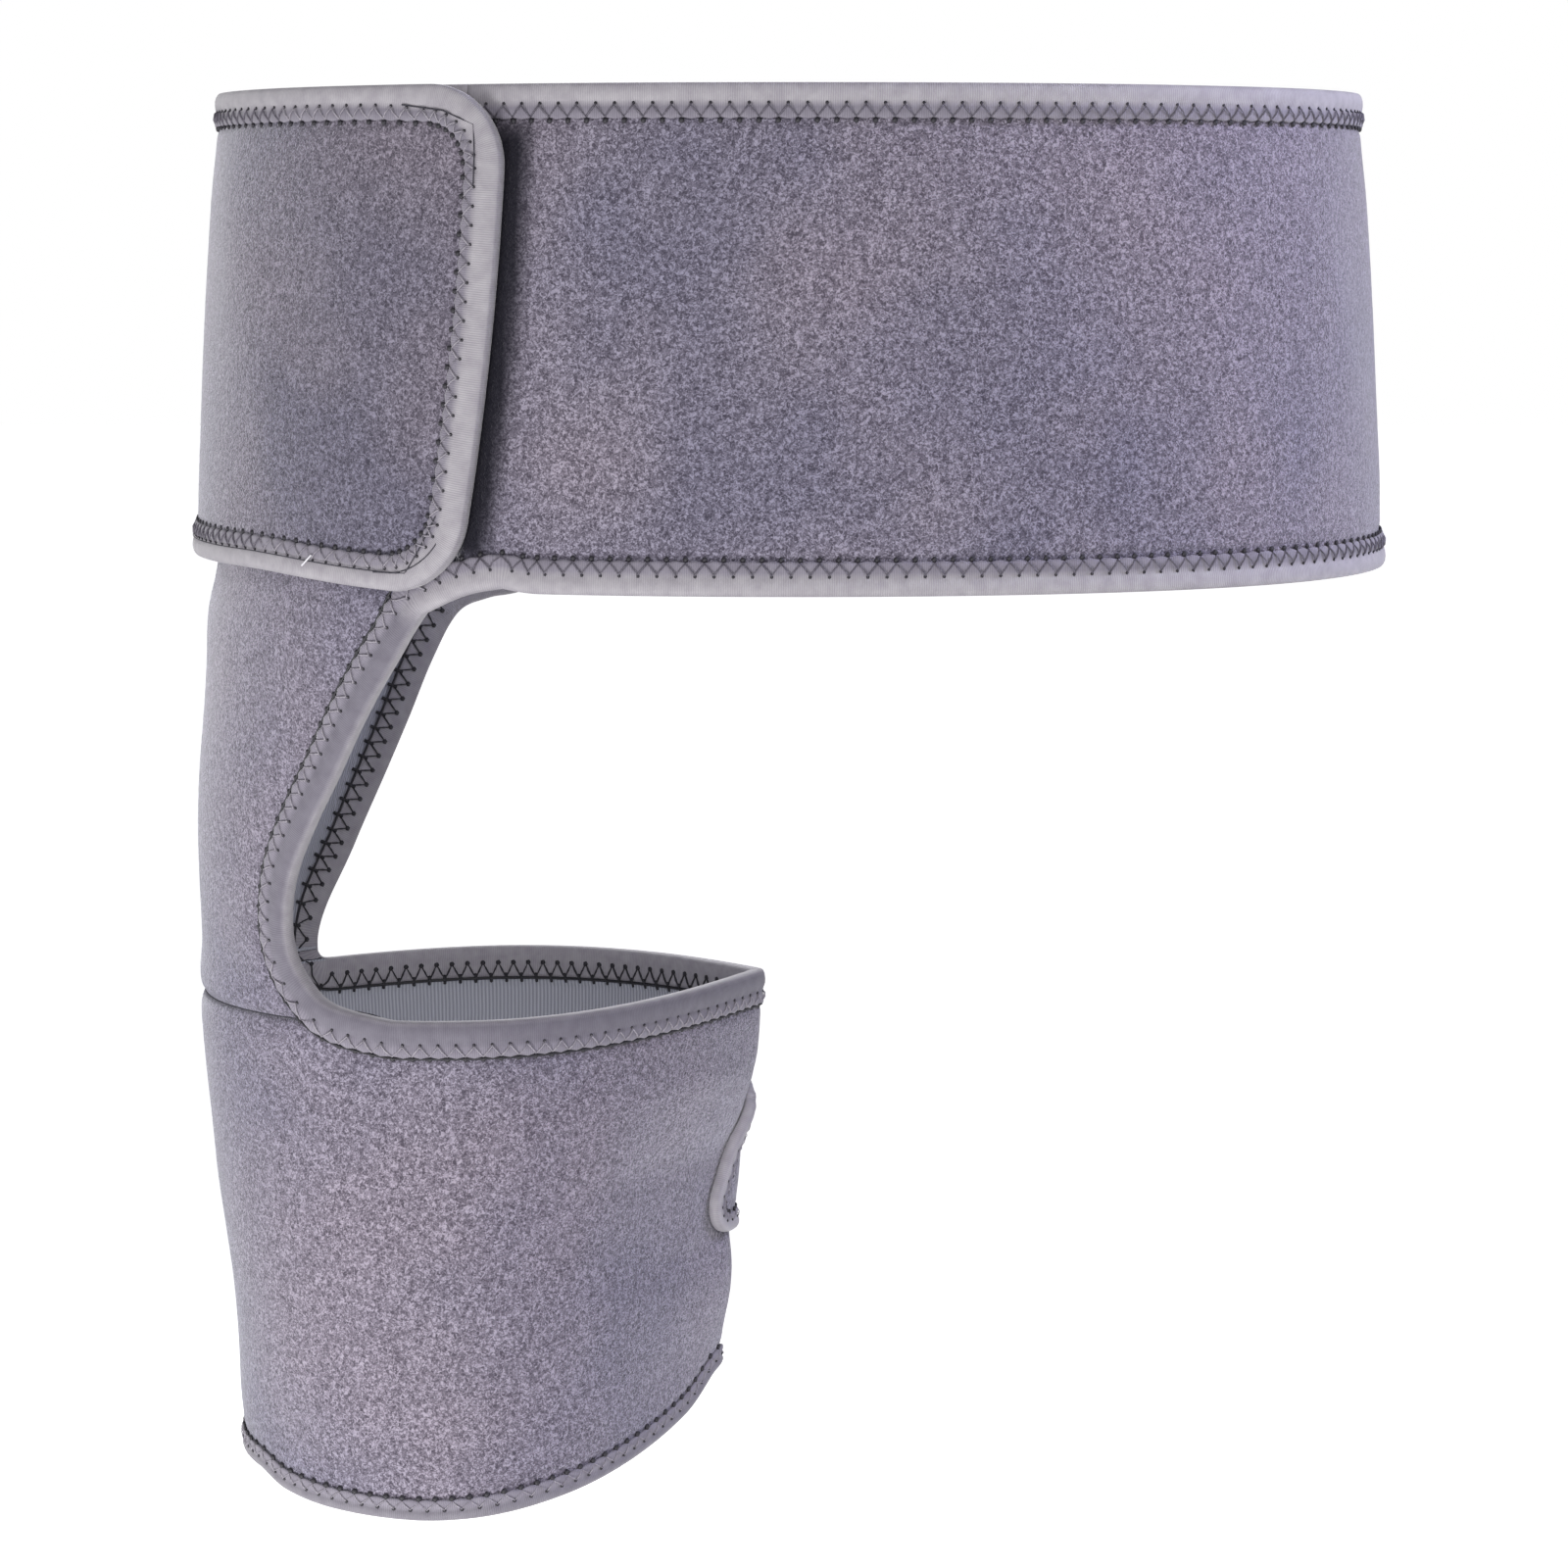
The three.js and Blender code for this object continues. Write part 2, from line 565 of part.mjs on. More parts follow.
// Belt: from the seam under the flap round the body, over the hip panel to the flap's end
function waistBelt() {
  const cloth = insetPath([...beltBorder, openingRunOn], TAPE_INSET, -1).slice(0, -1);
  cloth.at(-1).turn = BELT_SEAM;
  const last = belt.top.length - 1;
  const grid = gridBetween(cloth.slice(0, last + 1), cloth.toReversed(), BELT_ROWS);
  grid.forEach((row, i) => { row[last] = cloth[last + i]; });
  return wallFrom(grid, NEOPRENE);
}

// Hip panel: under the flap at belt height, then narrowing to the sleeve
function hipPanel() {
  const top = insetPath(panelTopEdge, TAPE_INSET, 1);
  const rear = insetPath(panel.rear, TAPE_INSET, 1);
  const below = panel.front.slice(panel.seamRows);
  const bound = insetPath([belt.foot[1], ...below], TAPE_INSET, -1).slice(1);
  const drop = bound[0].z - below[0].z;
  const sewn = panel.front.slice(0, panel.seamRows).map((place, i) => {
    const z = lerp(BELT_TOP - TAPE_INSET, below[0].z + drop, i / panel.seamRows);
    return { ...place, z };
  });
  bound[0].turn = PANEL_SEAM;
  const grid = [...sewn, ...bound].map((ahead, i) => {
    const behind = rear[i];
    const row = [];
    for (let j = 0; j <= PANEL_COLUMNS; j += 1) {
      const share = panelShare(j);
      const turn = panelTurn(ahead.turn, behind.turn, share, i < panel.seamRows);
      const z = i === 0 ? top[j].z : lerp(ahead.z, behind.z, share);
      row.push({ turn, z: Math.max(z, SEAM + CLEARANCE / 2), lift: 0 });
    }
    return row;
  });
  return wallFrom(grid, NEOPRENE);
}

// Top edge of the sleeve's cloth: sewn to the panel's foot, and bound along the rim
function sleeveTop() {
  const border = insetPath([...panel.rear.slice(-2), ...rim], TAPE_INSET, 1).slice(1);
  const [corner, ...bound] = border.map(({ turn, z }) => ({ turn: turn + 360, z }));
  const sewnZ = SEAM - CLEARANCE / 2;
  const sewn = turnsBetween(corner.turn - 360, bound.at(-1).turn, SEAM).slice(0, -1);
  const rimTop = bound.toReversed().map(({ turn, z }) => ({ turn, z: Math.min(z, sewnZ) }));
  return [...sewn.map((turn) => ({ turn, z: sewnZ })), ...rimTop];
}

const sleeveEdge = sleeveTop();

// Thigh sleeve: a closed tube, drawn to a crease at the inner thigh
function thighSleeve() {
  const grid = SLEEVE_RINGS.map((share) => sleeveEdge.map(({ turn, z }) => {
    return { turn, z: lerp(z, hemHeight(turn) + TAPE_INSET, share), lift: 0 };
  }));
  return wallFrom(grid, NEOPRENE, true);
}

// Height of the sleeve's finished lower edge.
function hemHeight(turn) {
  const near = THREE.MathUtils.euclideanModulo(turn + 180, 360) - 180;
  return SEAM - SLEEVE_LENGTH * column(HEM_LINE, 'turn', 'drop', near);
}

// Binding of the belt's top, flap end and foot
function beltBinding() {
  const shape = { width: BELT_TAPE_WIDTH, wall: NEOPRENE, clothSide: -1, runOn: openingRunOn };
  return bindingFrom(beltBorder, shape);
}

// Binding of the opening in the garment, all the way from seam to seam
function openingBinding() {
  const shape = { width: BELT_TAPE_WIDTH, wall: NEOPRENE, clothSide: 1, runOn: beltRunOn };
  return bindingFrom(openingBorder, shape);
}

// Binding of the sleeve's hem
function hemBinding() {
  const path = sleeveEdge.map(({ turn }) => ({ turn, z: hemHeight(turn), lift: 0 }));
  return bindingFrom(path, { width: HEM_TAPE_WIDTH, wall: NEOPRENE, clothSide: 1, ring: true });
}

// Finished edge of the strap, from the root along its foot, round the tip and back on top
function strapBorder() {
  const foot = strap.map(({ turn, foot: z }) => ({ turn, z, lift: STRAP_LIFT }));
  const top = strap.map(({ turn, top: z }) => ({ turn, z, lift: STRAP_LIFT }));
  return [...foot.toReversed(), ...top];
}

// Strap that closes the sleeve: sewn on at the back, its tip lapped round the crease
function thighStrap() {
  const cloth = insetPath(strapBorder(), STRAP_INSET, -1);
  const top = cloth.slice(strap.length);
  const foot = cloth.slice(0, strap.length).toReversed();
  return wallFrom(gridBetween(top, foot, STRAP_ROWS), STRAP_NEOPRENE);
}

// Binding of the strap's two long edges and its tip
function strapBinding() {
  const shape = { width: STRAP_TAPE_WIDTH, wall: STRAP_NEOPRENE, tape: STRAP_TAPE, folds: 2 };
  return bindingFrom(strapBorder(), { ...shape, clothSide: -1 });
}

// Hook tape inside the flap's end, which holds it to the hip panel
function flapHookPad() {
  const reach = BELT_TAPE_WIDTH + PAD_MARGIN;
  const lift = FLAP_LIFT - NEOPRENE - CLEARANCE;
  const end = Math.min(flapEndTurn(BELT_TOP - reach), flapEndTurn(BELT_FOOT + reach));
  const outer = turnAfter(end, 0, -reach);
  const inner = turnAfter(outer, 0, -BELT_PAD_WIDTH);
  const turns = turnsBetween(inner, outer, 0);
  const top = turns.map((turn) => ({ turn, z: BELT_TOP - reach, lift }));
  const foot = turns.map((turn) => ({ turn, z: BELT_FOOT + reach, lift }));
  return wallFrom(gridBetween(top, foot, BELT_ROWS), lift - CLEARANCE);
}

// Hook tape inside the strap, from where its slanted tip has reached its full width
function strapHookPad() {
  const reach = STRAP_TAPE_WIDTH + PAD_MARGIN;
  const lift = STRAP_LIFT - STRAP_NEOPRENE - CLEARANCE;
  const start = STRAP_WIDTH / Math.tan(degToRad(STRAP_SLANT));
  const held = strap.filter(({ along }) => along >= start && along <= start + STRAP_PAD_LENGTH);
  const top = held.map(({ turn, top: z }) => ({ turn, z: z - reach, lift }));
  const foot = held.map(({ turn, foot: z }) => ({ turn, z: z + reach, lift }));
  return wallFrom(gridBetween(top, foot, STRAP_ROWS), lift - CLEARANCE);
}

const cloth = { color: 0x847d8e, roughness: 0.95, metalness: 0 };
const binding = { color: 0xa69fa6, roughness: 0.8, metalness: 0 };
const hooks = { color: 0x4a484f, roughness: 0.7, metalness: 0 };

const pieces = [
  { name: 'waist_belt', geometry: waistBelt(), finish: cloth },
  { name: 'hip_panel', geometry: hipPanel(), finish: cloth },
  { name: 'thigh_sleeve', geometry: thighSleeve(), finish: cloth },
  { name: 'thigh_strap', geometry: thighStrap(), finish: cloth },
  { name: 'belt_binding', geometry: beltBinding(), finish: binding },
  { name: 'opening_binding', geometry: openingBinding(), finish: binding },
  { name: 'hem_binding', geometry: hemBinding(), finish: binding },
  { name: 'strap_binding', geometry: strapBinding(), finish: binding },
  { name: 'flap_hook_pad', geometry: flapHookPad(), finish: hooks },
  { name: 'strap_hook_pad', geometry: strapHookPad(), finish: hooks },
];

const brace = new THREE.Group();
for (const { name, geometry, finish } of pieces) {
  const mesh = new THREE.Mesh(geometry, new THREE.MeshStandardMaterial(finish));
  mesh.name = name;
  brace.add(mesh);
}

export default brace;
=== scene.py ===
# Groin support brace as it is worn: a wide waist belt whose flap laps over the hip, a curved
# hip panel and a short thigh sleeve. All cloth is grey brushed loop cloth laminated to
# neoprene foam, with pale knitted tape bound round every edge and zigzag stitched.
# Places on it are a turn round the body in degrees, a height and a lift off the body, in mm.
import math

import bmesh
import bpy
from mathutils import Matrix, Vector


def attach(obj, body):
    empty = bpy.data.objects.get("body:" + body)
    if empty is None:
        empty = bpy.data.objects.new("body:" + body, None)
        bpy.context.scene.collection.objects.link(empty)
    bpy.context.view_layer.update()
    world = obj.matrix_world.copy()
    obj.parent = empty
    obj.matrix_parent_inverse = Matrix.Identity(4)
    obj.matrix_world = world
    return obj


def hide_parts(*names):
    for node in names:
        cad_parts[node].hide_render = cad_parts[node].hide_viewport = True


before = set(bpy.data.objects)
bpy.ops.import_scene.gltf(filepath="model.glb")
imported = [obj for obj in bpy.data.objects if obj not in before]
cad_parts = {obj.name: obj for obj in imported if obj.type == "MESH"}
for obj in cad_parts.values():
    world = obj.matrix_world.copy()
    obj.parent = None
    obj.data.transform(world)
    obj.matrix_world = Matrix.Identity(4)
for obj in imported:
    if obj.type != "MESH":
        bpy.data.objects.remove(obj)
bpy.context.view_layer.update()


# Waist belt: one long strip of 3 mm loop-faced neoprene, cut with round corners at the flap.
# It runs from the seam at the front right round the body, rises over the hip panel's wing
# behind the hip, and its flap closes on the front with hook tape.
BELT_TOP = 66.0
BELT_FOOT = -66.0
PANEL_DROP = 125.0
SLEEVE_LENGTH = 143.0
SLEEVE_SEAM = BELT_FOOT - PANEL_DROP
THIGH_WIDTH = 164.8
HIP_REACH = 175.9
WAIST_WIDTH = 326.0
WAIST_DEPTH = 240.0
WAIST_FULLNESS = 0.12
BELT_FLARE_WIDE = 4.6
BELT_FLARE_DEEP = 3.0
THIGH_DEPTH = 140.0
FRONT_FLATNESS = 13.0
CREASE_SHARPNESS = 0.9
CREASE_RADIUS = 5.0
CLOTH = 3.0
MM = 0.001
TAPE_INSET = 1.3
SEAM_GAP = 0.15
SEAM_TURN = 56.5
FLAP_END_TURN = 421.3
FLAP_LIFT = 6.2
FLAP_SLANT = 4.0
FLAP_TOP_CORNER = 22.0
FLAP_FOOT_CORNER = 18.0
FLAP_END_RUN = 24.0
WING_END_TURN = -80.0
LAP_RUN = 16.0
LAP_MARGIN = 1.0
NOTCH_RUN = 9.0
NOTCH_RISE = 2.9
HITCH_RISE = 3.4
HIP_SECTIONS = [
    {"level": 0.90, "across": 0.00, "reach": 0.948},
    {"level": 1.00, "across": 0.00, "reach": 0.953},
    {"level": 1.12, "across": 0.11, "reach": 0.973},
    {"level": 1.25, "across": 0.25, "reach": 0.985},
    {"level": 1.50, "across": 0.50, "reach": 0.9965},
    {"level": 1.75, "across": 0.76, "reach": 0.999},
    {"level": 1.97, "across": 1.00, "reach": 1.000},
    {"level": 2.00, "across": 1.00, "reach": 1.000},
]
SLEEVE_SECTIONS = [
    {"level": 2.00, "hip": 0.000, "crease": 0.000, "depth": 1.000},
    {"level": 2.15, "hip": 0.010, "crease": 0.006, "depth": 0.995},
    {"level": 2.27, "hip": 0.018, "crease": 0.032, "depth": 0.990},
    {"level": 2.38, "hip": 0.023, "crease": 0.062, "depth": 0.985},
    {"level": 2.50, "hip": 0.034, "crease": 0.068, "depth": 0.976},
    {"level": 2.62, "hip": 0.047, "crease": 0.061, "depth": 0.968},
    {"level": 2.80, "hip": 0.061, "crease": 0.076, "depth": 0.955},
    {"level": 3.00, "hip": 0.072, "crease": 0.085, "depth": 0.940},
]


def lerp(a, b, t):
    return a + (b - a) * t


def clamp(value, low=0.0, high=1.0):
    return max(low, min(high, value))


def ease(value, low, high):
    t = clamp((value - low) / (high - low))
    return t * t * (3 - 2 * t)


def bump_at(value, middle, spread):
    return math.exp(-(((value - middle) / spread) ** 2))


# Between the rows of a table: a smooth curve that never goes past them.
def column(rows, key, name, at):
    last = len(rows) - 1
    above = next((i for i, row in enumerate(rows) if at < row[key]), last)
    i = min(max(above - 1, 0), last - 1)

    def slope(k):
        return (rows[k + 1][name] - rows[k][name]) / (rows[k + 1][key] - rows[k][key])

    def blend(a, b):
        return 2 * a * b / (a + b) if a * b > 0 else 0.0

    here = slope(i)
    start = blend(here, slope(i - 1)) if i > 0 else here
    end = blend(here, slope(i + 1)) if i < last - 1 else here
    span = rows[i + 1][key] - rows[i][key]
    t = clamp((at - rows[i][key]) / span)
    rise = (rows[i + 1][name] - rows[i][name]) * t * t * (3 - 2 * t)
    return rows[i][name] + rise + span * t * (1 - t) * ((1 - t) * start - t * end)


# A level is 0 at the belt's top, 1 at its foot, 2 at the sleeve's seam and 3 at its foot.
def height_at(level):
    if level <= 1:
        return lerp(BELT_TOP, BELT_FOOT, level)
    if level <= 2:
        return BELT_FOOT - (level - 1) * PANEL_DROP
    return SLEEVE_SEAM - (level - 2) * SLEEVE_LENGTH


sections = {}


# The body's section at a height: its middle, half width, half depth, how full its front and back
# are, and how far it is drawn to a crease at the inner thigh.
def section_at(z):
    key = round(z, 2)
    if key in sections:
        return sections[key]
    if z >= BELT_FOOT:
        down = -z / BELT_TOP
        wide = WAIST_WIDTH / 2 + BELT_FLARE_WIDE * down
        deep = WAIST_DEPTH / 2 + BELT_FLARE_DEEP * down
        section = (0.0, wide, deep, WAIST_FULLNESS, 0.0)
    elif z >= SLEEVE_SEAM:
        level = 1 + (BELT_FOOT - z) / PANEL_DROP
        across = column(HIP_SECTIONS, "level", "across", level)
        hip = -HIP_REACH * column(HIP_SECTIONS, "level", "reach", level)
        middle = (THIGH_WIDTH / 2 - HIP_REACH) * across
        deep = lerp(WAIST_DEPTH / 2 + BELT_FLARE_DEEP, THIGH_DEPTH / 2, across)
        section = (middle, middle - hip, deep, WAIST_FULLNESS * (1 - across), across)
    else:
        level = 2 + (SLEEVE_SEAM - z) / SLEEVE_LENGTH
        hip = -HIP_REACH + THIGH_WIDTH * column(SLEEVE_SECTIONS, "level", "hip", level)
        far = -HIP_REACH + THIGH_WIDTH * (1 - column(SLEEVE_SECTIONS, "level", "crease", level))
        deep = THIGH_DEPTH / 2 * column(SLEEVE_SECTIONS, "level", "depth", level)
        section = ((hip + far) / 2, (far - hip) / 2, deep, 0.0, 1.0)
    sections[key] = section
    return section


# A turn is 0 at the outer hip, 90 in front, 180 at the far side or inner thigh and 270 behind.
def core_point(turn, section):
    middle, wide, deep, fullness, crease = section
    cos = math.cos(math.radians(turn))
    sin = math.sin(math.radians(turn))
    full = sin * (1 + fullness * cos * cos)
    x = middle - (wide - CREASE_RADIUS) * cos
    if cos >= 0:
        return x, -(deep - CREASE_RADIUS) * full
    lens = lerp(full, sin * abs(sin), CREASE_SHARPNESS * crease)
    return x, -(deep - CREASE_RADIUS) * lens + FRONT_FLATNESS * crease * cos * cos


# A place on the cloth's outer face, or lifted off it by so many millimetres.
def face_point(turn, z, lift=0.0):
    section = section_at(z)
    x, y = core_point(turn, section)
    x0, y0 = core_point(turn - 0.05, section)
    x1, y1 = core_point(turn + 0.05, section)
    length = math.hypot(x1 - x0, y1 - y0)
    out = CREASE_RADIUS + lift
    return Vector((x + (y1 - y0) / length * out, y - (x1 - x0) / length * out, z))


def face_normal(turn, z, lift=0.0):
    round_it = face_point(turn + 0.4, z, lift) - face_point(turn - 0.4, z, lift)
    up = face_point(turn, z + 0.8, lift) - face_point(turn, z - 0.8, lift)
    return round_it.cross(up).normalized()


def arc_per_turn(turn, z, lift=0.0):
    return (face_point(turn + 0.5, z, lift) - face_point(turn - 0.5, z, lift)).length


def turn_after(turn, z, distance, lift=0.0):
    strides = max(1, math.ceil(abs(distance) / 2.5))
    for _ in range(strides):
        middle = turn + distance / strides / arc_per_turn(turn, z, lift) / 2
        turn += distance / strides / arc_per_turn(middle, z, lift)
    return turn


def turns_between(first, last, z, longest):
    turns = [first]
    while turns[-1] < last:
        turns.append(turns[-1] + longest / arc_per_turn(turns[-1], z))
    if last - turns[-2] < 0.5 * (turns[-1] - turns[-2]):
        turns.pop()
    turns[-1] = last
    return turns


def flap_end_turn(z):
    return FLAP_END_TURN - FLAP_SLANT * ((BELT_TOP - z) / (BELT_TOP - BELT_FOOT)) ** 2


def belt_lift(turn):
    wing_end = 360 + WING_END_TURN - LAP_MARGIN
    return FLAP_LIFT * ease(turn, wing_end - LAP_RUN, wing_end)


# The strip lies in slow waves where it isn't pulled tight, and the foam swells a little between
# its bound edges.
def belt_relief(turn, z):
    wave = 0.9 * math.sin(math.radians(5 * turn + 40)) * (z / BELT_TOP)
    swell = 0.7 * (1 - (z / BELT_TOP) ** 6)
    ripple = 0.35 * math.sin(math.radians(17 * turn) + z / 24) * math.sin(z / 31 + 1.1)
    return swell + ripple + 0.4 * wave


# Rows across a strip, set closer beside the edges where the tape's stitches draw it down.
def crowded(first, last, longest, edge):
    near = [0.0, 1.4, 3.0, 5.0, 6.8, 8.0, 9.0, 9.9, 10.8, 12.0, 14.0, 17.0]
    start = [d for d in near if edge[0] or d == 0]
    stop = [d for d in near if edge[1] or d == 0]
    length = abs(last - first)
    inner = length - start[-1] - stop[-1]
    steps = max(1, round(inner / longest))
    rows = start[:-1] + [start[-1] + inner * i / steps for i in range(steps)]
    rows += [length - d for d in reversed(stop)]
    return [first + math.copysign(d, last - first) for d in rows]


def sewn_dip(inset):
    return 0.55 * bump_at(inset, 9.6, 1.3)


def linear(hex_colour):
    channels = [int(hex_colour[i : i + 2], 16) / 255 for i in (1, 3, 5)]
    return [c / 12.92 if c <= 0.04045 else ((c + 0.055) / 1.055) ** 2.4 for c in channels] + [1]


def add_node(tree, kind, links=None, **settings):
    node = tree.nodes.new(kind)
    for name, value in settings.items():
        if name.startswith("in_"):
            key = name[3:]
            node.inputs[int(key) if key.isdigit() else key.replace("_", " ")].default_value = value
        else:
            setattr(node, name, value)
    for name, source in (links or {}).items():
        tree.links.new(source, node.inputs[name])
    return node


def new_material(name):
    material = bpy.data.materials.new(name)
    material.use_nodes = True
    tree = material.node_tree
    return material, tree, tree.nodes["Principled BSDF"]


def set_stops(ramp, stops):
    elements = ramp.color_ramp.elements
    while len(elements) < len(stops):
        elements.new(0.5)
    for element, (at, hex_colour) in zip(elements, stops):
        element.position = at
        element.color = linear(hex_colour)


# Brushed loop cloth: knitted nylon whose face is combed into short curled fibres. To the eye it
# is a dense salt and pepper grain, matte straight on and paler along grazing edges. A noise
# pattern's scale is how many of its grains fit in a metre: curls about 0.7 mm wide, tufts of 2 mm
# and faint patches of 70 mm. Single fibres are too fine to show, so the curls stand for them.
def loop_cloth(name, dark, middle, light):
    material, tree, shader = new_material(name)
    place = add_node(tree, "ShaderNodeTexCoord").outputs["Object"]
    curls = add_node(
        tree, "ShaderNodeTexNoise", {"Vector": place},
        in_Scale=1350.0, in_Detail=1.5, in_Roughness=0.55, in_Distortion=1.1,
    )
    tufts = add_node(
        tree, "ShaderNodeTexNoise", {"Vector": place}, in_Scale=520.0, in_Detail=1.0,
    )
    grain = add_node(
        tree, "ShaderNodeMix", {2: curls.outputs["Fac"], 3: tufts.outputs["Fac"]},
        data_type="FLOAT", in_0=0.22,
    )
    ramp = add_node(tree, "ShaderNodeValToRGB", {"Fac": grain.outputs[0]})
    set_stops(ramp, [(0.35, dark), (0.49, middle), (0.63, light)])
    patches = add_node(
        tree, "ShaderNodeTexNoise", {"Vector": place}, in_Scale=14.0, in_Detail=2.5,
    )
    tint = add_node(tree, "ShaderNodeValToRGB", {"Fac": patches.outputs["Fac"]})
    set_stops(tint, [(0.34, "#dfe1eb"), (0.5, "#f3f2f6"), (0.66, "#fdf9fa")])
    colour = add_node(
        tree, "ShaderNodeMix", {6: ramp.outputs["Color"], 7: tint.outputs["Color"]},
        data_type="RGBA", blend_type="MULTIPLY", in_0=1.0,
    )
    raised = add_node(
        tree, "ShaderNodeBump", {"Height": grain.outputs[0]}, in_Strength=0.6, in_Distance=0.0009,
    )
    # Painted shadow and shade: a per-place attribute mixes the colour towards near-black.
    painted_shade = add_node(tree, "ShaderNodeAttribute", attribute_name="painted_shade").outputs["Fac"]
    darkened = add_node(
        tree, "ShaderNodeMix", {0: painted_shade, 6: colour.outputs[2]}, data_type="RGBA",
        in_7=linear("#100f1a"),
    )
    tree.links.new(darkened.outputs[2], shader.inputs["Base Color"])
    tree.links.new(raised.outputs["Normal"], shader.inputs["Normal"])
    shader.inputs["Roughness"].default_value = 0.95
    shader.inputs["Specular IOR Level"].default_value = 0.15
    shader.inputs["Sheen Weight"].default_value = 0.9
    shader.inputs["Sheen Roughness"].default_value = 0.4
    shader.inputs["Sheen Tint"].default_value = linear("#ececf2")
    return material


# Lining: thin knitted nylon on the foam's inner face, smooth, with fine upright wales. They are
# drawn 1.1 mm apart, about twice the real pitch, so that they still show. A wave pattern's scale
# is BANDS_PER_MM over the pitch in millimetres.
RIB_PITCH = 1.1
BANDS_PER_MM = 314.16


def rib_lining(name, dark, light):
    material, tree, shader = new_material(name)
    cut = add_node(tree, "ShaderNodeUVMap", uv_map="cut").outputs["UV"]
    wales = add_node(
        tree, "ShaderNodeTexWave", {"Vector": cut}, wave_profile="SIN",
        in_Scale=BANDS_PER_MM / RIB_PITCH, in_Distortion=0.6, in_Detail=1.0,
    )
    wales.inputs["Detail Scale"].default_value = 0.8
    ramp = add_node(tree, "ShaderNodeValToRGB", {"Fac": wales.outputs["Fac"]})
    set_stops(ramp, [(0.15, dark), (0.85, light)])
    raised = add_node(
        tree, "ShaderNodeBump", {"Height": wales.outputs["Fac"]},
        in_Strength=0.4, in_Distance=0.0004,
    )
    tree.links.new(ramp.outputs["Color"], shader.inputs["Base Color"])
    tree.links.new(raised.outputs["Normal"], shader.inputs["Normal"])
    shader.inputs["Roughness"].default_value = 0.75
    shader.inputs["Sheen Weight"].default_value = 0.2
    return material


# Neoprene foam: dark closed-cell rubber with cells of about 0.6 mm, seen only at the cut edges
# between face and lining.
def foam_edge(name):
    material, tree, shader = new_material(name)
    place = add_node(tree, "ShaderNodeTexCoord").outputs["Object"]
    cells = add_node(tree, "ShaderNodeTexVoronoi", {"Vector": place}, in_Scale=1800.0)
    ramp = add_node(tree, "ShaderNodeValToRGB", {"Fac": cells.outputs["Distance"]})
    set_stops(ramp, [(0.1, "#232227"), (0.8, "#3a393f")])
    tree.links.new(ramp.outputs["Color"], shader.inputs["Base Color"])
    shader.inputs["Roughness"].default_value = 0.9
    return material


face_cloth = loop_cloth("brushed_loop_cloth", "#4e4954", "#77717d", "#aba5b3")
lining = rib_lining("ribbed_lining", "#9899a4", "#bbbcc5")
foam = foam_edge("neoprene_foam")


def add_piece(name, mesh, smooth=True):
    if smooth:
        for polygon in mesh.polygons:
            polygon.use_smooth = True
    piece = bpy.data.objects.new(name, mesh)
    bpy.context.scene.collection.objects.link(piece)
    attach(piece, "root")
    return piece


# A strip of laminate from a grid: its outer face is laid on the body place by place, and the
# foam's thickness and lining are added inwards.
def lay_cloth(name, columns, rows, place_at, cut_at, thickness=CLOTH, ring=False, shade_at=None):
    bm = bmesh.new()
    cut = bm.loops.layers.uv.new("cut")
    painted_shade = bm.verts.layers.float.new("painted_shade")
    bmesh.ops.create_grid(bm, x_segments=columns, y_segments=rows, size=0.5)
    spots = {}
    for vert in bm.verts:
        i = round((vert.co.x + 0.5) * columns)
        j = rows - round((vert.co.y + 0.5) * rows)
        spots[vert.index] = (i, j)
        vert.co = place_at(i, j) * MM
        # Painted shade: each place keeps how far its colour is darkened as painted shadow.
        vert[painted_shade] = shade_at(i, j) if shade_at else 0.0
    for face in bm.faces:
        for loop in face.loops:
            u, v = cut_at(*spots[loop.vert.index])
            loop[cut].uv = (u * MM, v * MM)
    if ring:
        seam = [v for v in bm.verts if spots[v.index][0] in (0, columns)]
        bmesh.ops.remove_doubles(bm, verts=seam, dist=0.00002)
    bm.normal_update()
    mesh = bpy.data.meshes.new(name)
    bm.to_mesh(mesh)
    bm.free()
    piece = add_piece(name, mesh)
    for material in (face_cloth, lining, foam):
        mesh.materials.append(material)
    wall = piece.modifiers.new("laminate", "SOLIDIFY")
    wall.thickness = thickness * MM
    wall.offset = -1
    wall.use_even_offset = False
    wall.material_offset = 1
    wall.material_offset_rim = 2
    return piece


# Depth of the cut line below the finished edge beside a round corner.
def belt_rim(side, corner):
    across = max(corner - side, 0.0)
    return corner - math.sqrt(max((corner - TAPE_INSET) ** 2 - across**2, 0.0))


belt_arc = arc_per_turn(60, 0, FLAP_LIFT)
belt_start = turn_after(SEAM_TURN, 0, SEAM_GAP)
belt_stop = FLAP_END_TURN - FLAP_END_RUN / belt_arc
belt_turns = turns_between(belt_start, belt_stop, BELT_FOOT, 3.0)
belt_ends = [
    TAPE_INSET + FLAP_TOP_CORNER * (1 - math.sin(math.radians(a))) for a in range(6, 91, 6)
]
belt_stations = [(turn, None) for turn in belt_turns] + [(None, side) for side in belt_ends]
belt_depths = crowded(0, BELT_TOP - BELT_FOOT - 2 * TAPE_INSET, 4.0, (True, True))


# The belt's foot is cut up a little beside the seam, and the closed flap rides up at the hip.
def belt_notch(turn):
    hitched = HITCH_RISE * ease(turn, 318, 366) * (1 - ease(turn, 392, 418))
    return NOTCH_RISE * (1 - ease(turn, SEAM_TURN, SEAM_TURN + NOTCH_RUN)) + hitched


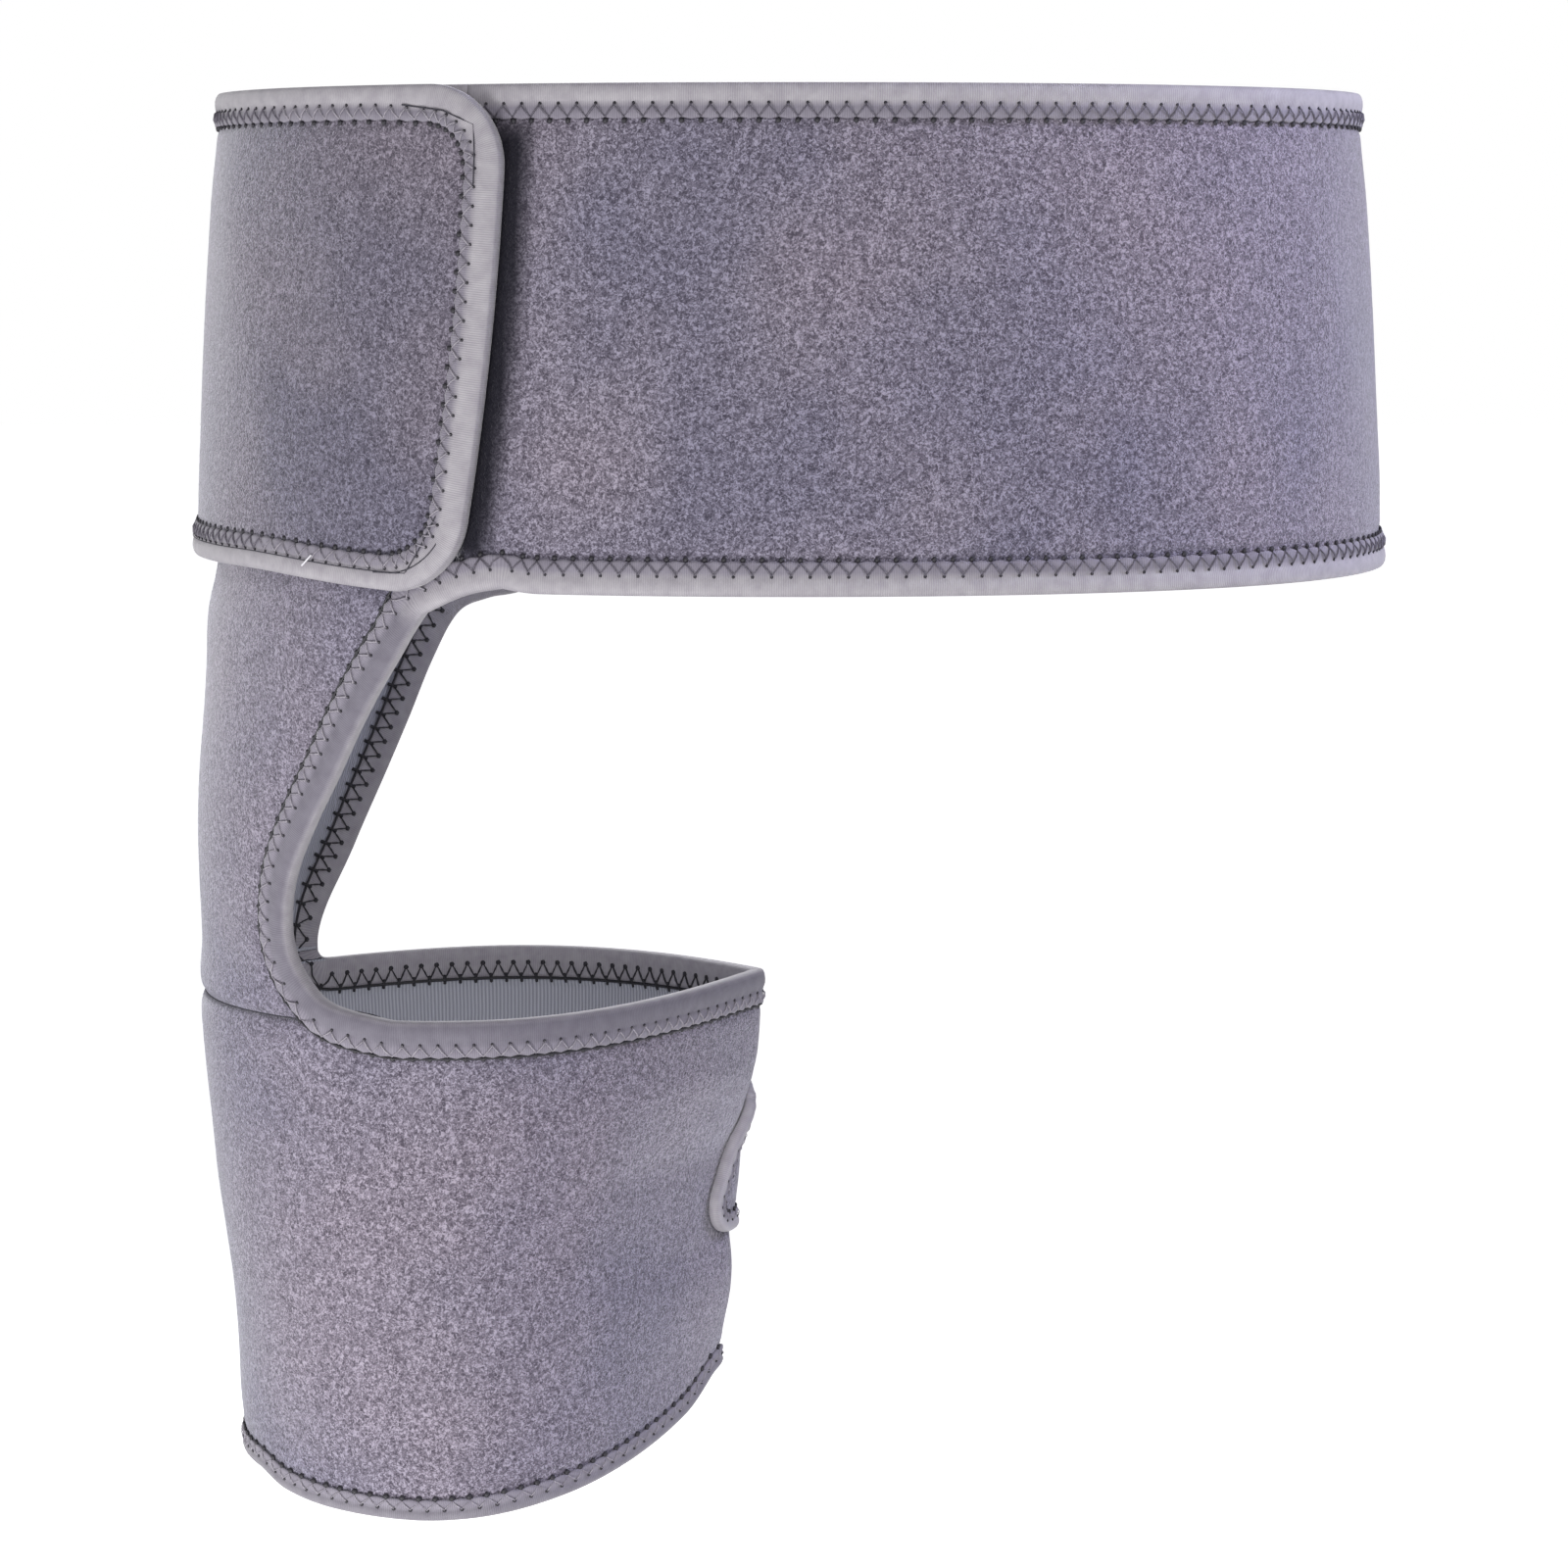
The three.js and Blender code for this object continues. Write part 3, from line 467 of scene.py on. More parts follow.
def belt_place(i, j):
    turn, side = belt_stations[i]
    share = belt_depths[j] / belt_depths[-1]
    if turn is None:
        top = BELT_TOP - belt_rim(side, FLAP_TOP_CORNER)
        z = lerp(top, BELT_FOOT + belt_rim(side, FLAP_FOOT_CORNER), share)
        turn = flap_end_turn(z) - side / belt_arc
    else:
        z = lerp(BELT_TOP - TAPE_INSET, BELT_FOOT + TAPE_INSET + belt_notch(turn), share)
        turn += (flap_end_turn(z) - FLAP_END_TURN) * ease(turn, 350, 385)
        side = (flap_end_turn(z) - turn) * belt_arc
    inset = min(BELT_TOP - z, z - BELT_FOOT, side)
    relief = belt_relief(turn, z) * ease(inset, 8, 30) * ease(turn - belt_start, 0, 6)
    return face_point(turn, z, belt_lift(turn) + relief - sewn_dip(inset))


# Painted shadow: the belt's colour darkens to near-black in a narrow band beside the flap's end,
# where the flap casts its shadow, and painted shade makes the whole flap a little darker.
def belt_painted_shade(i, j):
    turn = belt_stations[i][0]
    if turn is None or turn > 90:
        return 0.19 * ease(turn or FLAP_END_TURN, 362, 385)
    z = lerp(BELT_TOP, BELT_FOOT, belt_depths[j] / belt_depths[-1])
    beyond = (turn - flap_end_turn(z) + 360) * belt_arc
    return 0.97 * (1 - ease(beyond, 2.8, 10.0)) * ease(z, -65, -58) * (1 - ease(z, 52, 64))


belt_middle = len(belt_depths) // 2
belt_run = [0.0]
for i in range(1, len(belt_stations)):
    step = belt_place(i, belt_middle) - belt_place(i - 1, belt_middle)
    belt_run.append(belt_run[-1] + step.length)

belt = lay_cloth(
    "waist_belt_cloth", len(belt_stations) - 1, len(belt_depths) - 1, belt_place,
    lambda i, j: (belt_run[i], -belt_depths[j]), shade_at=belt_painted_shade,
)
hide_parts("waist_belt")


# Hip panel: the same laminate, cut as a wing that goes round the hip under the flap and narrows
# below the belt to the outer thigh. Its front edge is sewn to the belt's end at belt height,
# its foot to the sleeve, and its other edges are bound.
PANEL_EDGES = [
    {"front": 0.978, "frontTurn": 56.5, "rear": 1.000, "rearTurn": -76.0},
    {"front": 1.030, "frontTurn": 54.1, "rear": 1.085, "rearTurn": -69.5},
    {"front": 1.103, "frontTurn": 53.3, "rear": 1.148, "rearTurn": -62.0},
    {"front": 1.155, "frontTurn": 52.8, "rear": 1.164, "rearTurn": -57.6},
    {"front": 1.220, "frontTurn": 52.0, "rear": 1.198, "rearTurn": -54.2},
    {"front": 1.310, "frontTurn": 50.8, "rear": 1.310, "rearTurn": -53.0},
    {"front": 1.438, "frontTurn": 49.2, "rear": 1.450, "rearTurn": -52.4},
    {"front": 1.537, "frontTurn": 47.4, "rear": 1.587, "rearTurn": -51.3},
    {"front": 1.651, "frontTurn": 45.6, "rear": 1.735, "rearTurn": -49.6},
    {"front": 1.733, "frontTurn": 45.7, "rear": 1.820, "rearTurn": -48.8},
    {"front": 1.800, "frontTurn": 47.3, "rear": 1.880, "rearTurn": -48.1},
    {"front": 1.860, "frontTurn": 50.7, "rear": 1.925, "rearTurn": -47.6},
    {"front": 1.920, "frontTurn": 56.4, "rear": 1.955, "rearTurn": -47.3},
    {"front": 1.962, "frontTurn": 62.8, "rear": 1.978, "rearTurn": -47.2},
    {"front": 1.9896, "frontTurn": 76.0, "rear": 1.996, "rearTurn": -47.3},
]
WING_CORNER = 14.0
PANEL_COLUMNS = 64


# A smooth curve through every row of the panel's edges, t of the way down.
def edge_spline(name, t):
    at = t * (len(PANEL_EDGES) - 1)
    i = min(int(at), len(PANEL_EDGES) - 2)
    f = at - i
    rows = [PANEL_EDGES[min(max(k, 0), len(PANEL_EDGES) - 1)][name] for k in range(i - 1, i + 3)]
    v0 = (rows[2] - rows[0]) / 2
    v1 = (rows[3] - rows[1]) / 2
    cubic = (2 * rows[1] - 2 * rows[2] + v0 + v1) * f**3
    return cubic + (-3 * rows[1] + 3 * rows[2] - 2 * v0 - v1) * f**2 + v0 * f + rows[1]


# A place at a distance inwards from an edge, along the surface and square to the edge.
def inset_place(place, before, after, distance, cloth_side):
    turn, z, lift = place
    edge = face_point(after[0], after[1], lift) - face_point(before[0], before[1], lift)
    round_it = (face_point(turn + 0.5, z, lift) - face_point(turn - 0.5, z, lift)).normalized()
    up = (face_point(turn, z + 1, lift) - face_point(turn, z, lift)).normalized()
    inward = round_it.cross(up).cross(edge).normalized() * (distance * cloth_side)
    slope = round_it.dot(up)
    rise = (inward.dot(up) - slope * inward.dot(round_it)) / (1 - slope * slope)
    sideways = inward.dot(round_it) - slope * rise
    return turn_after(turn, z, sideways, lift), z + rise * up.z, lift


def inset_path(path, distance, cloth_side):
    last = len(path) - 1
    moved = []
    for i, place in enumerate(path):
        before = path[max(i - 1, 0)]
        after = path[min(i + 1, last)]
        moved.append(inset_place(place, before, after, distance, cloth_side))
    return moved


panel_seam = turn_after(SEAM_TURN, 0, -SEAM_GAP)
wing_arc = arc_per_turn(WING_END_TURN, 0)
panel_front_foot = height_at(PANEL_EDGES[0]["front"])
wing_foot = height_at(PANEL_EDGES[0]["rear"]) + WING_CORNER


# Both of the panel's edges from the belt's top down, with as many places on each.
def panel_edges(step):
    rear = []
    corner_steps = max(5, round(22 / step))
    for i in range(corner_steps + 1):
        a = math.radians(90 * i / corner_steps)
        turn = WING_END_TURN + WING_CORNER / wing_arc * (1 - math.sin(a))
        rear.append((turn, BELT_TOP - WING_CORNER * (1 - math.cos(a)), 0.0))
    rows = round((BELT_TOP - WING_CORNER - wing_foot) / step)
    for i in range(1, rows + 1):
        rear.append((WING_END_TURN, lerp(BELT_TOP - WING_CORNER, wing_foot, i / rows), 0.0))
    front = []
    for i in range(len(rear)):
        front.append((panel_seam, lerp(BELT_TOP, panel_front_foot, i / len(rear)), 0.0))
    seam_rows = len(front)
    rows = round(210 / step)
    for i in range(rows + 1):
        t = i / rows
        turn = panel_seam if i == 0 else edge_spline("frontTurn", t)
        front.append((turn, height_at(edge_spline("front", t)), 0.0))
        rear.append((edge_spline("rearTurn", t), height_at(edge_spline("rear", t)), 0.0))
    return front, rear, seam_rows


panel_front, panel_rear, panel_seam_rows = panel_edges(3.0)
panel_front_cut = inset_path(panel_front, TAPE_INSET, -1)
panel_rear_cut = inset_path(panel_rear, TAPE_INSET, 1)
panel_top_cut = BELT_TOP - TAPE_INSET


def panel_share(i):
    even = i / PANEL_COLUMNS
    return even - 0.11 * math.sin(2 * math.pi * even)


# The seam to the sleeve draws both cloths in: a narrow groove in a shallow one.
def seam_furrow(z):
    return 1.1 * bump_at(z, SLEEVE_SEAM, 1.5) + 0.9 * bump_at(z, SLEEVE_SEAM, 4.5)


def panel_place(i, j):
    share = panel_share(PANEL_COLUMNS - i)
    if j < panel_seam_rows:
        foot = panel_front_foot + 2 * TAPE_INSET
        ahead = (panel_seam, lerp(panel_top_cut, foot, j / panel_seam_rows))
        behind = panel_rear_cut[j]
        stray = (behind[0] - WING_END_TURN) * ease(share, 0.75, 1)
        turn = lerp(ahead[0], WING_END_TURN, share) + stray
        z = min(lerp(ahead[1], behind[1], share), panel_top_cut)
    else:
        ahead = panel_front_cut[j]
        behind = panel_rear_cut[j]
        turn = lerp(ahead[0], behind[0], share)
        z = max(lerp(ahead[1], behind[1], share), SLEEVE_SEAM + SEAM_GAP)
    arc = arc_per_turn(turn, z)
    side = min((ahead[0] - turn) * arc, (turn - behind[0]) * arc) + TAPE_INSET
    inset = side if j >= panel_seam_rows else min(side, BELT_TOP - z)
    free = ease(BELT_FOOT - 4 - z, 0, 25) * ease(side, 9, 30) * ease(z - SLEEVE_SEAM, 0, 16)
    drape = 1.1 * math.sin(math.radians(3.1 * turn + 0.9 * z)) + 0.6 * math.sin(z / 13.0)
    return face_point(turn, z, drape * free - sewn_dip(inset) - seam_furrow(z))


def panel_cut(i, j):
    turn = lerp(panel_front[j][0], panel_rear[j][0], panel_share(PANEL_COLUMNS - i))
    return math.radians(turn) * 140, panel_front[j][1]


panel = lay_cloth("hip_panel_cloth", PANEL_COLUMNS, len(panel_front) - 1, panel_place, panel_cut)
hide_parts("hip_panel")


# Thigh sleeve: a closed tube of the same laminate, sewn to the panel's foot at the outer thigh
# and free over the inner thigh, where the strap draws it to a soft crease.
RIM_LINE = [
    {"turn": 76, "level": 1.9896},
    {"turn": 105, "level": 1.985},
    {"turn": 150, "level": 1.984},
    {"turn": 180, "level": 1.988},
    {"turn": 216, "level": 1.996},
    {"turn": 267, "level": 2.008},
    {"turn": 308, "level": 2.016},
    {"turn": 312, "level": 2.011},
]
HEM_LINE = [
    {"turn": -180, "drop": 0.828},
    {"turn": -164, "drop": 0.846},
    {"turn": -150, "drop": 0.888},
    {"turn": -112, "drop": 0.958},
    {"turn": -75, "drop": 0.990},
    {"turn": -40, "drop": 0.982},
    {"turn": 0, "drop": 0.958},
    {"turn": 27, "drop": 0.958},
    {"turn": 40, "drop": 0.980},
    {"turn": 57, "drop": 0.992},
    {"turn": 77, "drop": 0.996},
    {"turn": 112, "drop": 0.964},
    {"turn": 149, "drop": 0.894},
    {"turn": 168, "drop": 0.836},
    {"turn": 180, "drop": 0.828},
]
SLEEVE_COLUMNS = 240
RIM_FROM = 76.0
RIM_TO = 312.7


def rim_height(turn):
    return height_at(column(RIM_LINE, "turn", "level", turn))


def hem_height(turn):
    near = (turn + 180) % 360 - 180
    return SLEEVE_SEAM - SLEEVE_LENGTH * column(HEM_LINE, "turn", "drop", near)


def sleeve_top(turn):
    around = turn % 360
    sewn = SLEEVE_SEAM - SEAM_GAP
    if not RIM_FROM <= around <= RIM_TO:
        return sewn
    return lerp(min(rim_height(around) - TAPE_INSET, sewn), sewn, ease(around, 308, RIM_TO))


sleeve_turns = [-180.0]
around = turns_between(-180.0, 180.0, -240.0, 2.0)
for i in range(1, SLEEVE_COLUMNS + 1):
    at = i / SLEEVE_COLUMNS * (len(around) - 1)
    k = min(int(at), len(around) - 2)
    sleeve_turns.append(lerp(around[k], around[k + 1], at - k))
sleeve_depths = crowded(0, SLEEVE_LENGTH - 8, 2.6, (True, True))


# The strap gathers the cloth at the crease into shallow folds that run out over the front, and
# the loose foot of the sleeve ripples a little.
def sleeve_relief(turn, z):
    around = (turn + 360) % 360
    pulled = bump_at(around, 172, 34) * bump_at(z, -232, 34)
    fold = math.sin((z + 0.22 * around) / 5.2)
    near_crease = 1.3 * fold * pulled * ease(abs(around - 180), 3, 26)
    slow = 1.2 * math.sin(math.radians(3 * turn) - z / 37) * math.sin((z + 205) / 36)
    front = 1.6 * bump_at(turn, 118, 22) * bump_at(z, -262, 34)
    foot = 0.6 * math.sin(math.radians(7 * turn)) * bump_at(z, -318, 16)
    return near_crease + slow + front + foot


def sleeve_place(i, j):
    turn = sleeve_turns[i]
    share = sleeve_depths[j] / sleeve_depths[-1]
    top = sleeve_top(turn)
    foot = hem_height(turn) + TAPE_INSET
    z = lerp(top, foot, share)
    around = turn % 360
    bound_top = ease(around, 60, 80) * (1 - ease(around, 308, 313))
    foot_dip = 0.45 * bump_at(z - foot + TAPE_INSET, 6.0, 1.1)
    dip = sewn_dip(top + TAPE_INSET - z) * bound_top + foot_dip
    free = ease(top - z, 6 * bound_top, 24) * ease(z - foot, 5, 22)
    under_strap = ease(abs(around - 180), 24, 60) if -268 < z < -220 else 1.0
    relief = sleeve_relief(turn, z) * free * under_strap
    return face_point(turn, z, relief - dip - seam_furrow(z) * (1 - bound_top))


def sleeve_cut(i, j):
    return math.radians(sleeve_turns[i]) * 76, SLEEVE_SEAM - sleeve_depths[j]


sleeve = lay_cloth(
    "thigh_sleeve_cloth", SLEEVE_COLUMNS, len(sleeve_depths) - 1, sleeve_place, sleeve_cut,
    ring=True,
)
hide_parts("thigh_sleeve")


# Thigh strap: a short tongue of thinner laminate. Its root is sewn on behind the crease and its
# tip, cut slanting with round corners, laps to the front and holds with hook tape.
STRAP_CLOTH = 2.0
STRAP_LENGTH = 96.0
STRAP_WIDTH = 46.0
STRAP_CORNER = 9.0
STRAP_SHOULDER = 10.0
STRAP_SLANT = 60.0
STRAP_LIFT = 3.4
STRAP_FOOT_DROP = 76.0
STRAP_FOOT = SLEEVE_SEAM - STRAP_FOOT_DROP
STRAP_INSET = 1.1
STRAP_TIP_TURN = 158.5
strap_slant = math.radians(STRAP_SLANT)


def strap_foot(along):
    before = max(STRAP_CORNER - along, 0)
    return STRAP_CORNER - math.sqrt(STRAP_CORNER**2 - before**2)


def strap_top(along):
    tangent = STRAP_CORNER * (1 - math.sin(strap_slant))
    arc = STRAP_CORNER + math.sqrt(STRAP_CORNER**2 - max(STRAP_CORNER - along, 0) ** 2)
    line = STRAP_CORNER * (1 + math.cos(strap_slant)) + (along - tangent) * math.tan(strap_slant)
    edge = arc if along < tangent else line
    return (edge + STRAP_WIDTH - math.hypot(edge - STRAP_WIDTH, STRAP_SHOULDER)) / 2


def strap_stations(step):
    near = [STRAP_CORNER * (1 - math.cos(math.radians(a))) for a in range(12, 90, 13)]
    straight = STRAP_LENGTH - STRAP_CORNER
    steps = round(straight / step)
    runs = near + [STRAP_CORNER + straight * i / steps for i in range(steps + 1)]
    stations = []
    for along in runs:
        turn = turn_after(STRAP_TIP_TURN, STRAP_FOOT + STRAP_WIDTH / 2, along)
        foot = STRAP_FOOT + strap_foot(along)
        top = STRAP_FOOT + strap_top(along)
        stations.append((turn, foot, top, along))
    return stations


def strap_lift(along):
    return STRAP_LIFT - 1.2 * ease(along, STRAP_LENGTH - 14, STRAP_LENGTH)


# Round the strap's edge: from its root along the foot, over the tip and back along the top.
def strap_outline(stations):
    feet = [(turn, foot, strap_lift(along)) for turn, foot, _, along in reversed(stations)]
    return feet + [(turn, top, strap_lift(along)) for turn, _, top, along in stations]


strap_line = strap_stations(2.0)
strap_cut = inset_path(strap_outline(strap_line), STRAP_INSET, -1)
strap_feet = list(reversed(strap_cut[: len(strap_line)]))
strap_tops = strap_cut[len(strap_line) :]
STRAP_ROWS = 20


def strap_place(i, j):
    top = strap_tops[i]
    foot = strap_feet[i]
    share = j / STRAP_ROWS
    z = lerp(top[1], foot[1], share)
    inset = min(top[1] - z, z - foot[1], (strap_line[i][3] + STRAP_INSET)) + STRAP_INSET
    dip = 0.4 * bump_at(inset, 5.6, 1.1)
    return face_point(lerp(top[0], foot[0], share), z, top[2] + 0.5 * ease(inset, 6, 16) - dip)


strap = lay_cloth(
    "thigh_strap_cloth", len(strap_line) - 1, STRAP_ROWS, strap_place,
    lambda i, j: (strap_line[i][3], -STRAP_WIDTH * j / STRAP_ROWS), STRAP_CLOTH,
)
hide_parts("thigh_strap")


# Edge binding: knitted tape, folded round the cut edge and held by one row of zigzag that
# pierces both legs. One length goes round the belt's top, flap and foot and runs on down the
# front of the opening, round the sleeve's rim, up the rear and over the wing.
STITCH = 5.0


# The same path again in even steps.
def along_path(path, step):
    points = [face_point(*place) for place in path]
    runs = [0.0]
    for a, b in zip(points, points[1:]):
        runs.append(runs[-1] + (b - a).length)
    count = max(2, round(runs[-1] / step))
    even = []
    k = 0
    for i in range(count + 1):
        at = runs[-1] * i / count
        while k < len(runs) - 2 and runs[k + 1] < at:
            k += 1
        t = clamp((at - runs[k]) / max(runs[k + 1] - runs[k], 1e-6))
        even.append(tuple(lerp(a, b, t) for a, b in zip(path[k], path[k + 1])))
    return even


# Frames along an edge: run, places on the face and normals at no, half and full reach inwards.
def edge_frames(path, reach):
    half = inset_path(path, reach / 2, -1)
    full = inset_path(path, reach, -1)
    frames = []
    run = 0.0
    for places in zip(path, half, full):
        points = [face_point(*place) for place in places]
        normals = [face_normal(*place) for place in places]
        if frames:
            run += (points[0] - frames[-1][1][0]).length
        frames.append((run, points, normals, reach))
    return frames


# A place so far in from the edge and lifted off the cloth, on the curve through a frame's places.
def off_edge(spot, inset, lift):
    _, points, normals, reach = spot
    t = inset / reach
    a, b, c = points
    place = a * (1 - t) * (1 - 2 * t) + b * 4 * t * (1 - t) + c * t * (2 * t - 1)
    return place + normals[0].lerp(normals[2], clamp(t)).normalized() * lift


belt_path_turns = turns_between(belt_start, belt_stop, BELT_FOOT, 1.6)
corner_stops = [math.radians(a) for a in range(0, 91, 5)]


def belt_shift(turn, z):
    return turn + (flap_end_turn(z) - FLAP_END_TURN) * ease(turn, 350, 385)


garment_path = [(belt_shift(t, BELT_TOP), BELT_TOP, belt_lift(t)) for t in belt_path_turns]
for a in corner_stops:
    z = BELT_TOP - FLAP_TOP_CORNER * (1 - math.cos(a))
    turn = flap_end_turn(z) - FLAP_TOP_CORNER * (1 - math.sin(a)) / belt_arc
    garment_path.append((turn, z, FLAP_LIFT))
flap_end_from = len(garment_path)
for i in range(1, 60):
    z = lerp(BELT_TOP - FLAP_TOP_CORNER, BELT_FOOT + FLAP_FOOT_CORNER, i / 60)
    garment_path.append((flap_end_turn(z), z, FLAP_LIFT))
for a in reversed(corner_stops):
    z = BELT_FOOT + FLAP_FOOT_CORNER * (1 - math.cos(a))
    turn = flap_end_turn(z) - FLAP_FOOT_CORNER * (1 - math.sin(a)) / belt_arc
    garment_path.append((turn, z, FLAP_LIFT))
for t in reversed(belt_path_turns):
    z = BELT_FOOT + belt_notch(t)
    garment_path.append((belt_shift(t, z), z, belt_lift(t)))
fine_front, fine_rear, fine_seam = panel_edges(1.6)
garment_path += fine_front[fine_seam + 1 :]
rim_turns = turns_between(RIM_FROM, RIM_TO, SLEEVE_SEAM, 1.6)
garment_path += [(t, rim_height(t) if t < 311 else rim_height(311), 0.0) for t in rim_turns[1:-1]]
garment_path += [(t + 360, z, 0.0) for t, z, lift in reversed(fine_rear)]
top_turns = turns_between(WING_END_TURN + WING_CORNER / wing_arc, panel_seam, BELT_TOP, 1.6)
garment_path += [(t + 360, BELT_TOP, 0.0) for t in top_turns[1:]]
garment_path = along_path(garment_path, STITCH / 4)


# The tape can't turn sharply where the belt's foot meets the opening: it rounds both corners.
def rounded(path, turn, z, reach, passes):
    kink = min(
        (k for k, place in enumerate(path) if place[2] < 1),
        key=lambda k: (face_point(*path[k]) - face_point(turn, z)).length,
    )
    for _ in range(passes):
        for k in range(kink - reach, kink + reach + 1):
            path[k] = tuple((a + b) / 2 for a, b in zip(path[k - 1], path[k + 1]))


rounded(garment_path, SEAM_TURN, BELT_FOOT + belt_notch(SEAM_TURN), reach=10, passes=60)
garment_frames = edge_frames(garment_path, reach=10.0)


# Width of the tape and both rows of needle holes, by the place along the edge: narrow on the
# belt's long edges, wider at the flap's end and round the opening.
def tape_cut(place):
    turn, z, lift = place
    at_end = ease(turn, 405, 417) * (lift > 3)
    low = ease(-z, 70, 78)
    wide = max(at_end, low)
    outer = lerp(lerp(5.0, 6.7, at_end), 6.1, low)
    return lerp(8.9, 9.7, wide), outer, lerp(9.0, 9.8, wide), low


# Cross-section of the folded tape: bulge, stitched groove, thin inner edge, and the same again
# on the lining side. Each stitch pulls the tape down and the cloth puffs between stitches.
def tape_section(width, outer, phase, wall, tape, puff):
    pull = 0.5 + 0.5 * math.cos(2 * math.pi * phase)
    push = 1 - pull
    bulge = [(0.05, 0.62), (0.18, 0.95), (0.38, 1.16), (0.62, 1.14), (0.84, 0.95), (1.0, 0.72)]
    seam = [(0.3, 0.88), (0.6, 0.98), (0.85, 0.84), (1.0, 0.56), (1.0, 0.2)]
    edge = width + puff * (0.45 * pull - 0.25)
    face = []
    for share, lift in bulge:
        sink = 0.38 * puff * pull * ease(share, 0.6, 1.0)
        face.append((outer * share, lift * tape - sink))
    for share, lift in seam:
        sink = puff * (0.34 * pull * (1 - share) + 0.3 * push * share - 0.12 * pull * share)
        face.append((lerp(outer, edge, share), max(lift * tape - sink, 0.16)))
    back = [(0.05, 0.9), (0.3, 1.25), (0.55, 1.0), (0.8, 1.12), (1.0, 0.75), (1.0, 0.22)]
    lining_side = [(width * share, -wall - lift * tape) for share, lift in back]
    fold = [(-0.12, 0.3), (-0.3, -0.5 * wall), (-0.12, -wall - 0.3)]
    inside = [(width * 0.98, -wall - 0.15), (0.9, -wall - 0.15), (0.9, 0.15), (width * 0.98, 0.15)]
    return list(reversed(face)) + fold + lining_side + inside


def bind_edge(name, path, frames, cut_of, wall, tape, puff, ring=False):
    profiles = []
    cuts = []
    for k, place in enumerate(path):
        width, outer, _, tone = cut_of(place)
        profiles.append(tape_section(width, outer, k / 4, wall, tape, puff))
        cuts.append((outer, tone))
    count = len(profiles[0])
    stations = len(frames) - (0 if ring else 1)
    bm = bmesh.new()
    cut = bm.loops.layers.uv.new("cut")
    tones = bm.verts.layers.float.new("tone")
    sewn = bm.verts.layers.float.new("sewn")
    bmesh.ops.create_grid(bm, x_segments=stations, y_segments=count, size=0.5)
    spots = {}
    for vert in bm.verts:
        i = round((vert.co.x + 0.5) * stations)
        j = round((vert.co.y + 0.5) * count)
        spots[vert.index] = (i, j)
        inset, lift = profiles[i % len(frames)][j % count]
        outer, tone = cuts[i % len(frames)]
        # Painted highlight: beside the fold the face gets a fixed tone of 0.3, a pale line round
        # the opening where sheen brightens the rolled edge; on the belt it comes out a little
        # greyer.
        vert[tones] = lerp(0.3, tone, ease(inset, -0.1, 0.6)) if lift > 0 else 0.1
        vert[sewn] = ease(inset, outer - 0.4, outer + 0.6) if lift > 0 else 0.0
        vert.co = off_edge(frames[i % len(frames)], inset, lift) * MM
    runs = [0.0]
    for a, b in zip(profiles[0], profiles[0][1:] + profiles[0][:1]):
        runs.append(runs[-1] + math.hypot(b[0] - a[0], b[1] - a[1]))
    for face in bm.faces:
        for loop in face.loops:
            i, j = spots[loop.vert.index]
            run = frames[i][0] if i < len(frames) else frames[-1][0] + STITCH / 4
            loop[cut].uv = (run * MM, runs[j] * MM)
    doubles = [v for v in bm.verts if spots[v.index][1] in (0, count)]
    if ring:
        doubles += [v for v in bm.verts if spots[v.index][0] in (0, stations)]
    bmesh.ops.remove_doubles(bm, verts=list(set(doubles)), dist=0.000002)
    if not ring:
        bmesh.ops.holes_fill(bm, edges=[e for e in bm.edges if e.is_boundary], sides=0)
    bmesh.ops.recalc_face_normals(bm, faces=bm.faces)
    mesh = bpy.data.meshes.new(name)
    bm.to_mesh(mesh)
    bm.free()
    return add_piece(name, mesh)
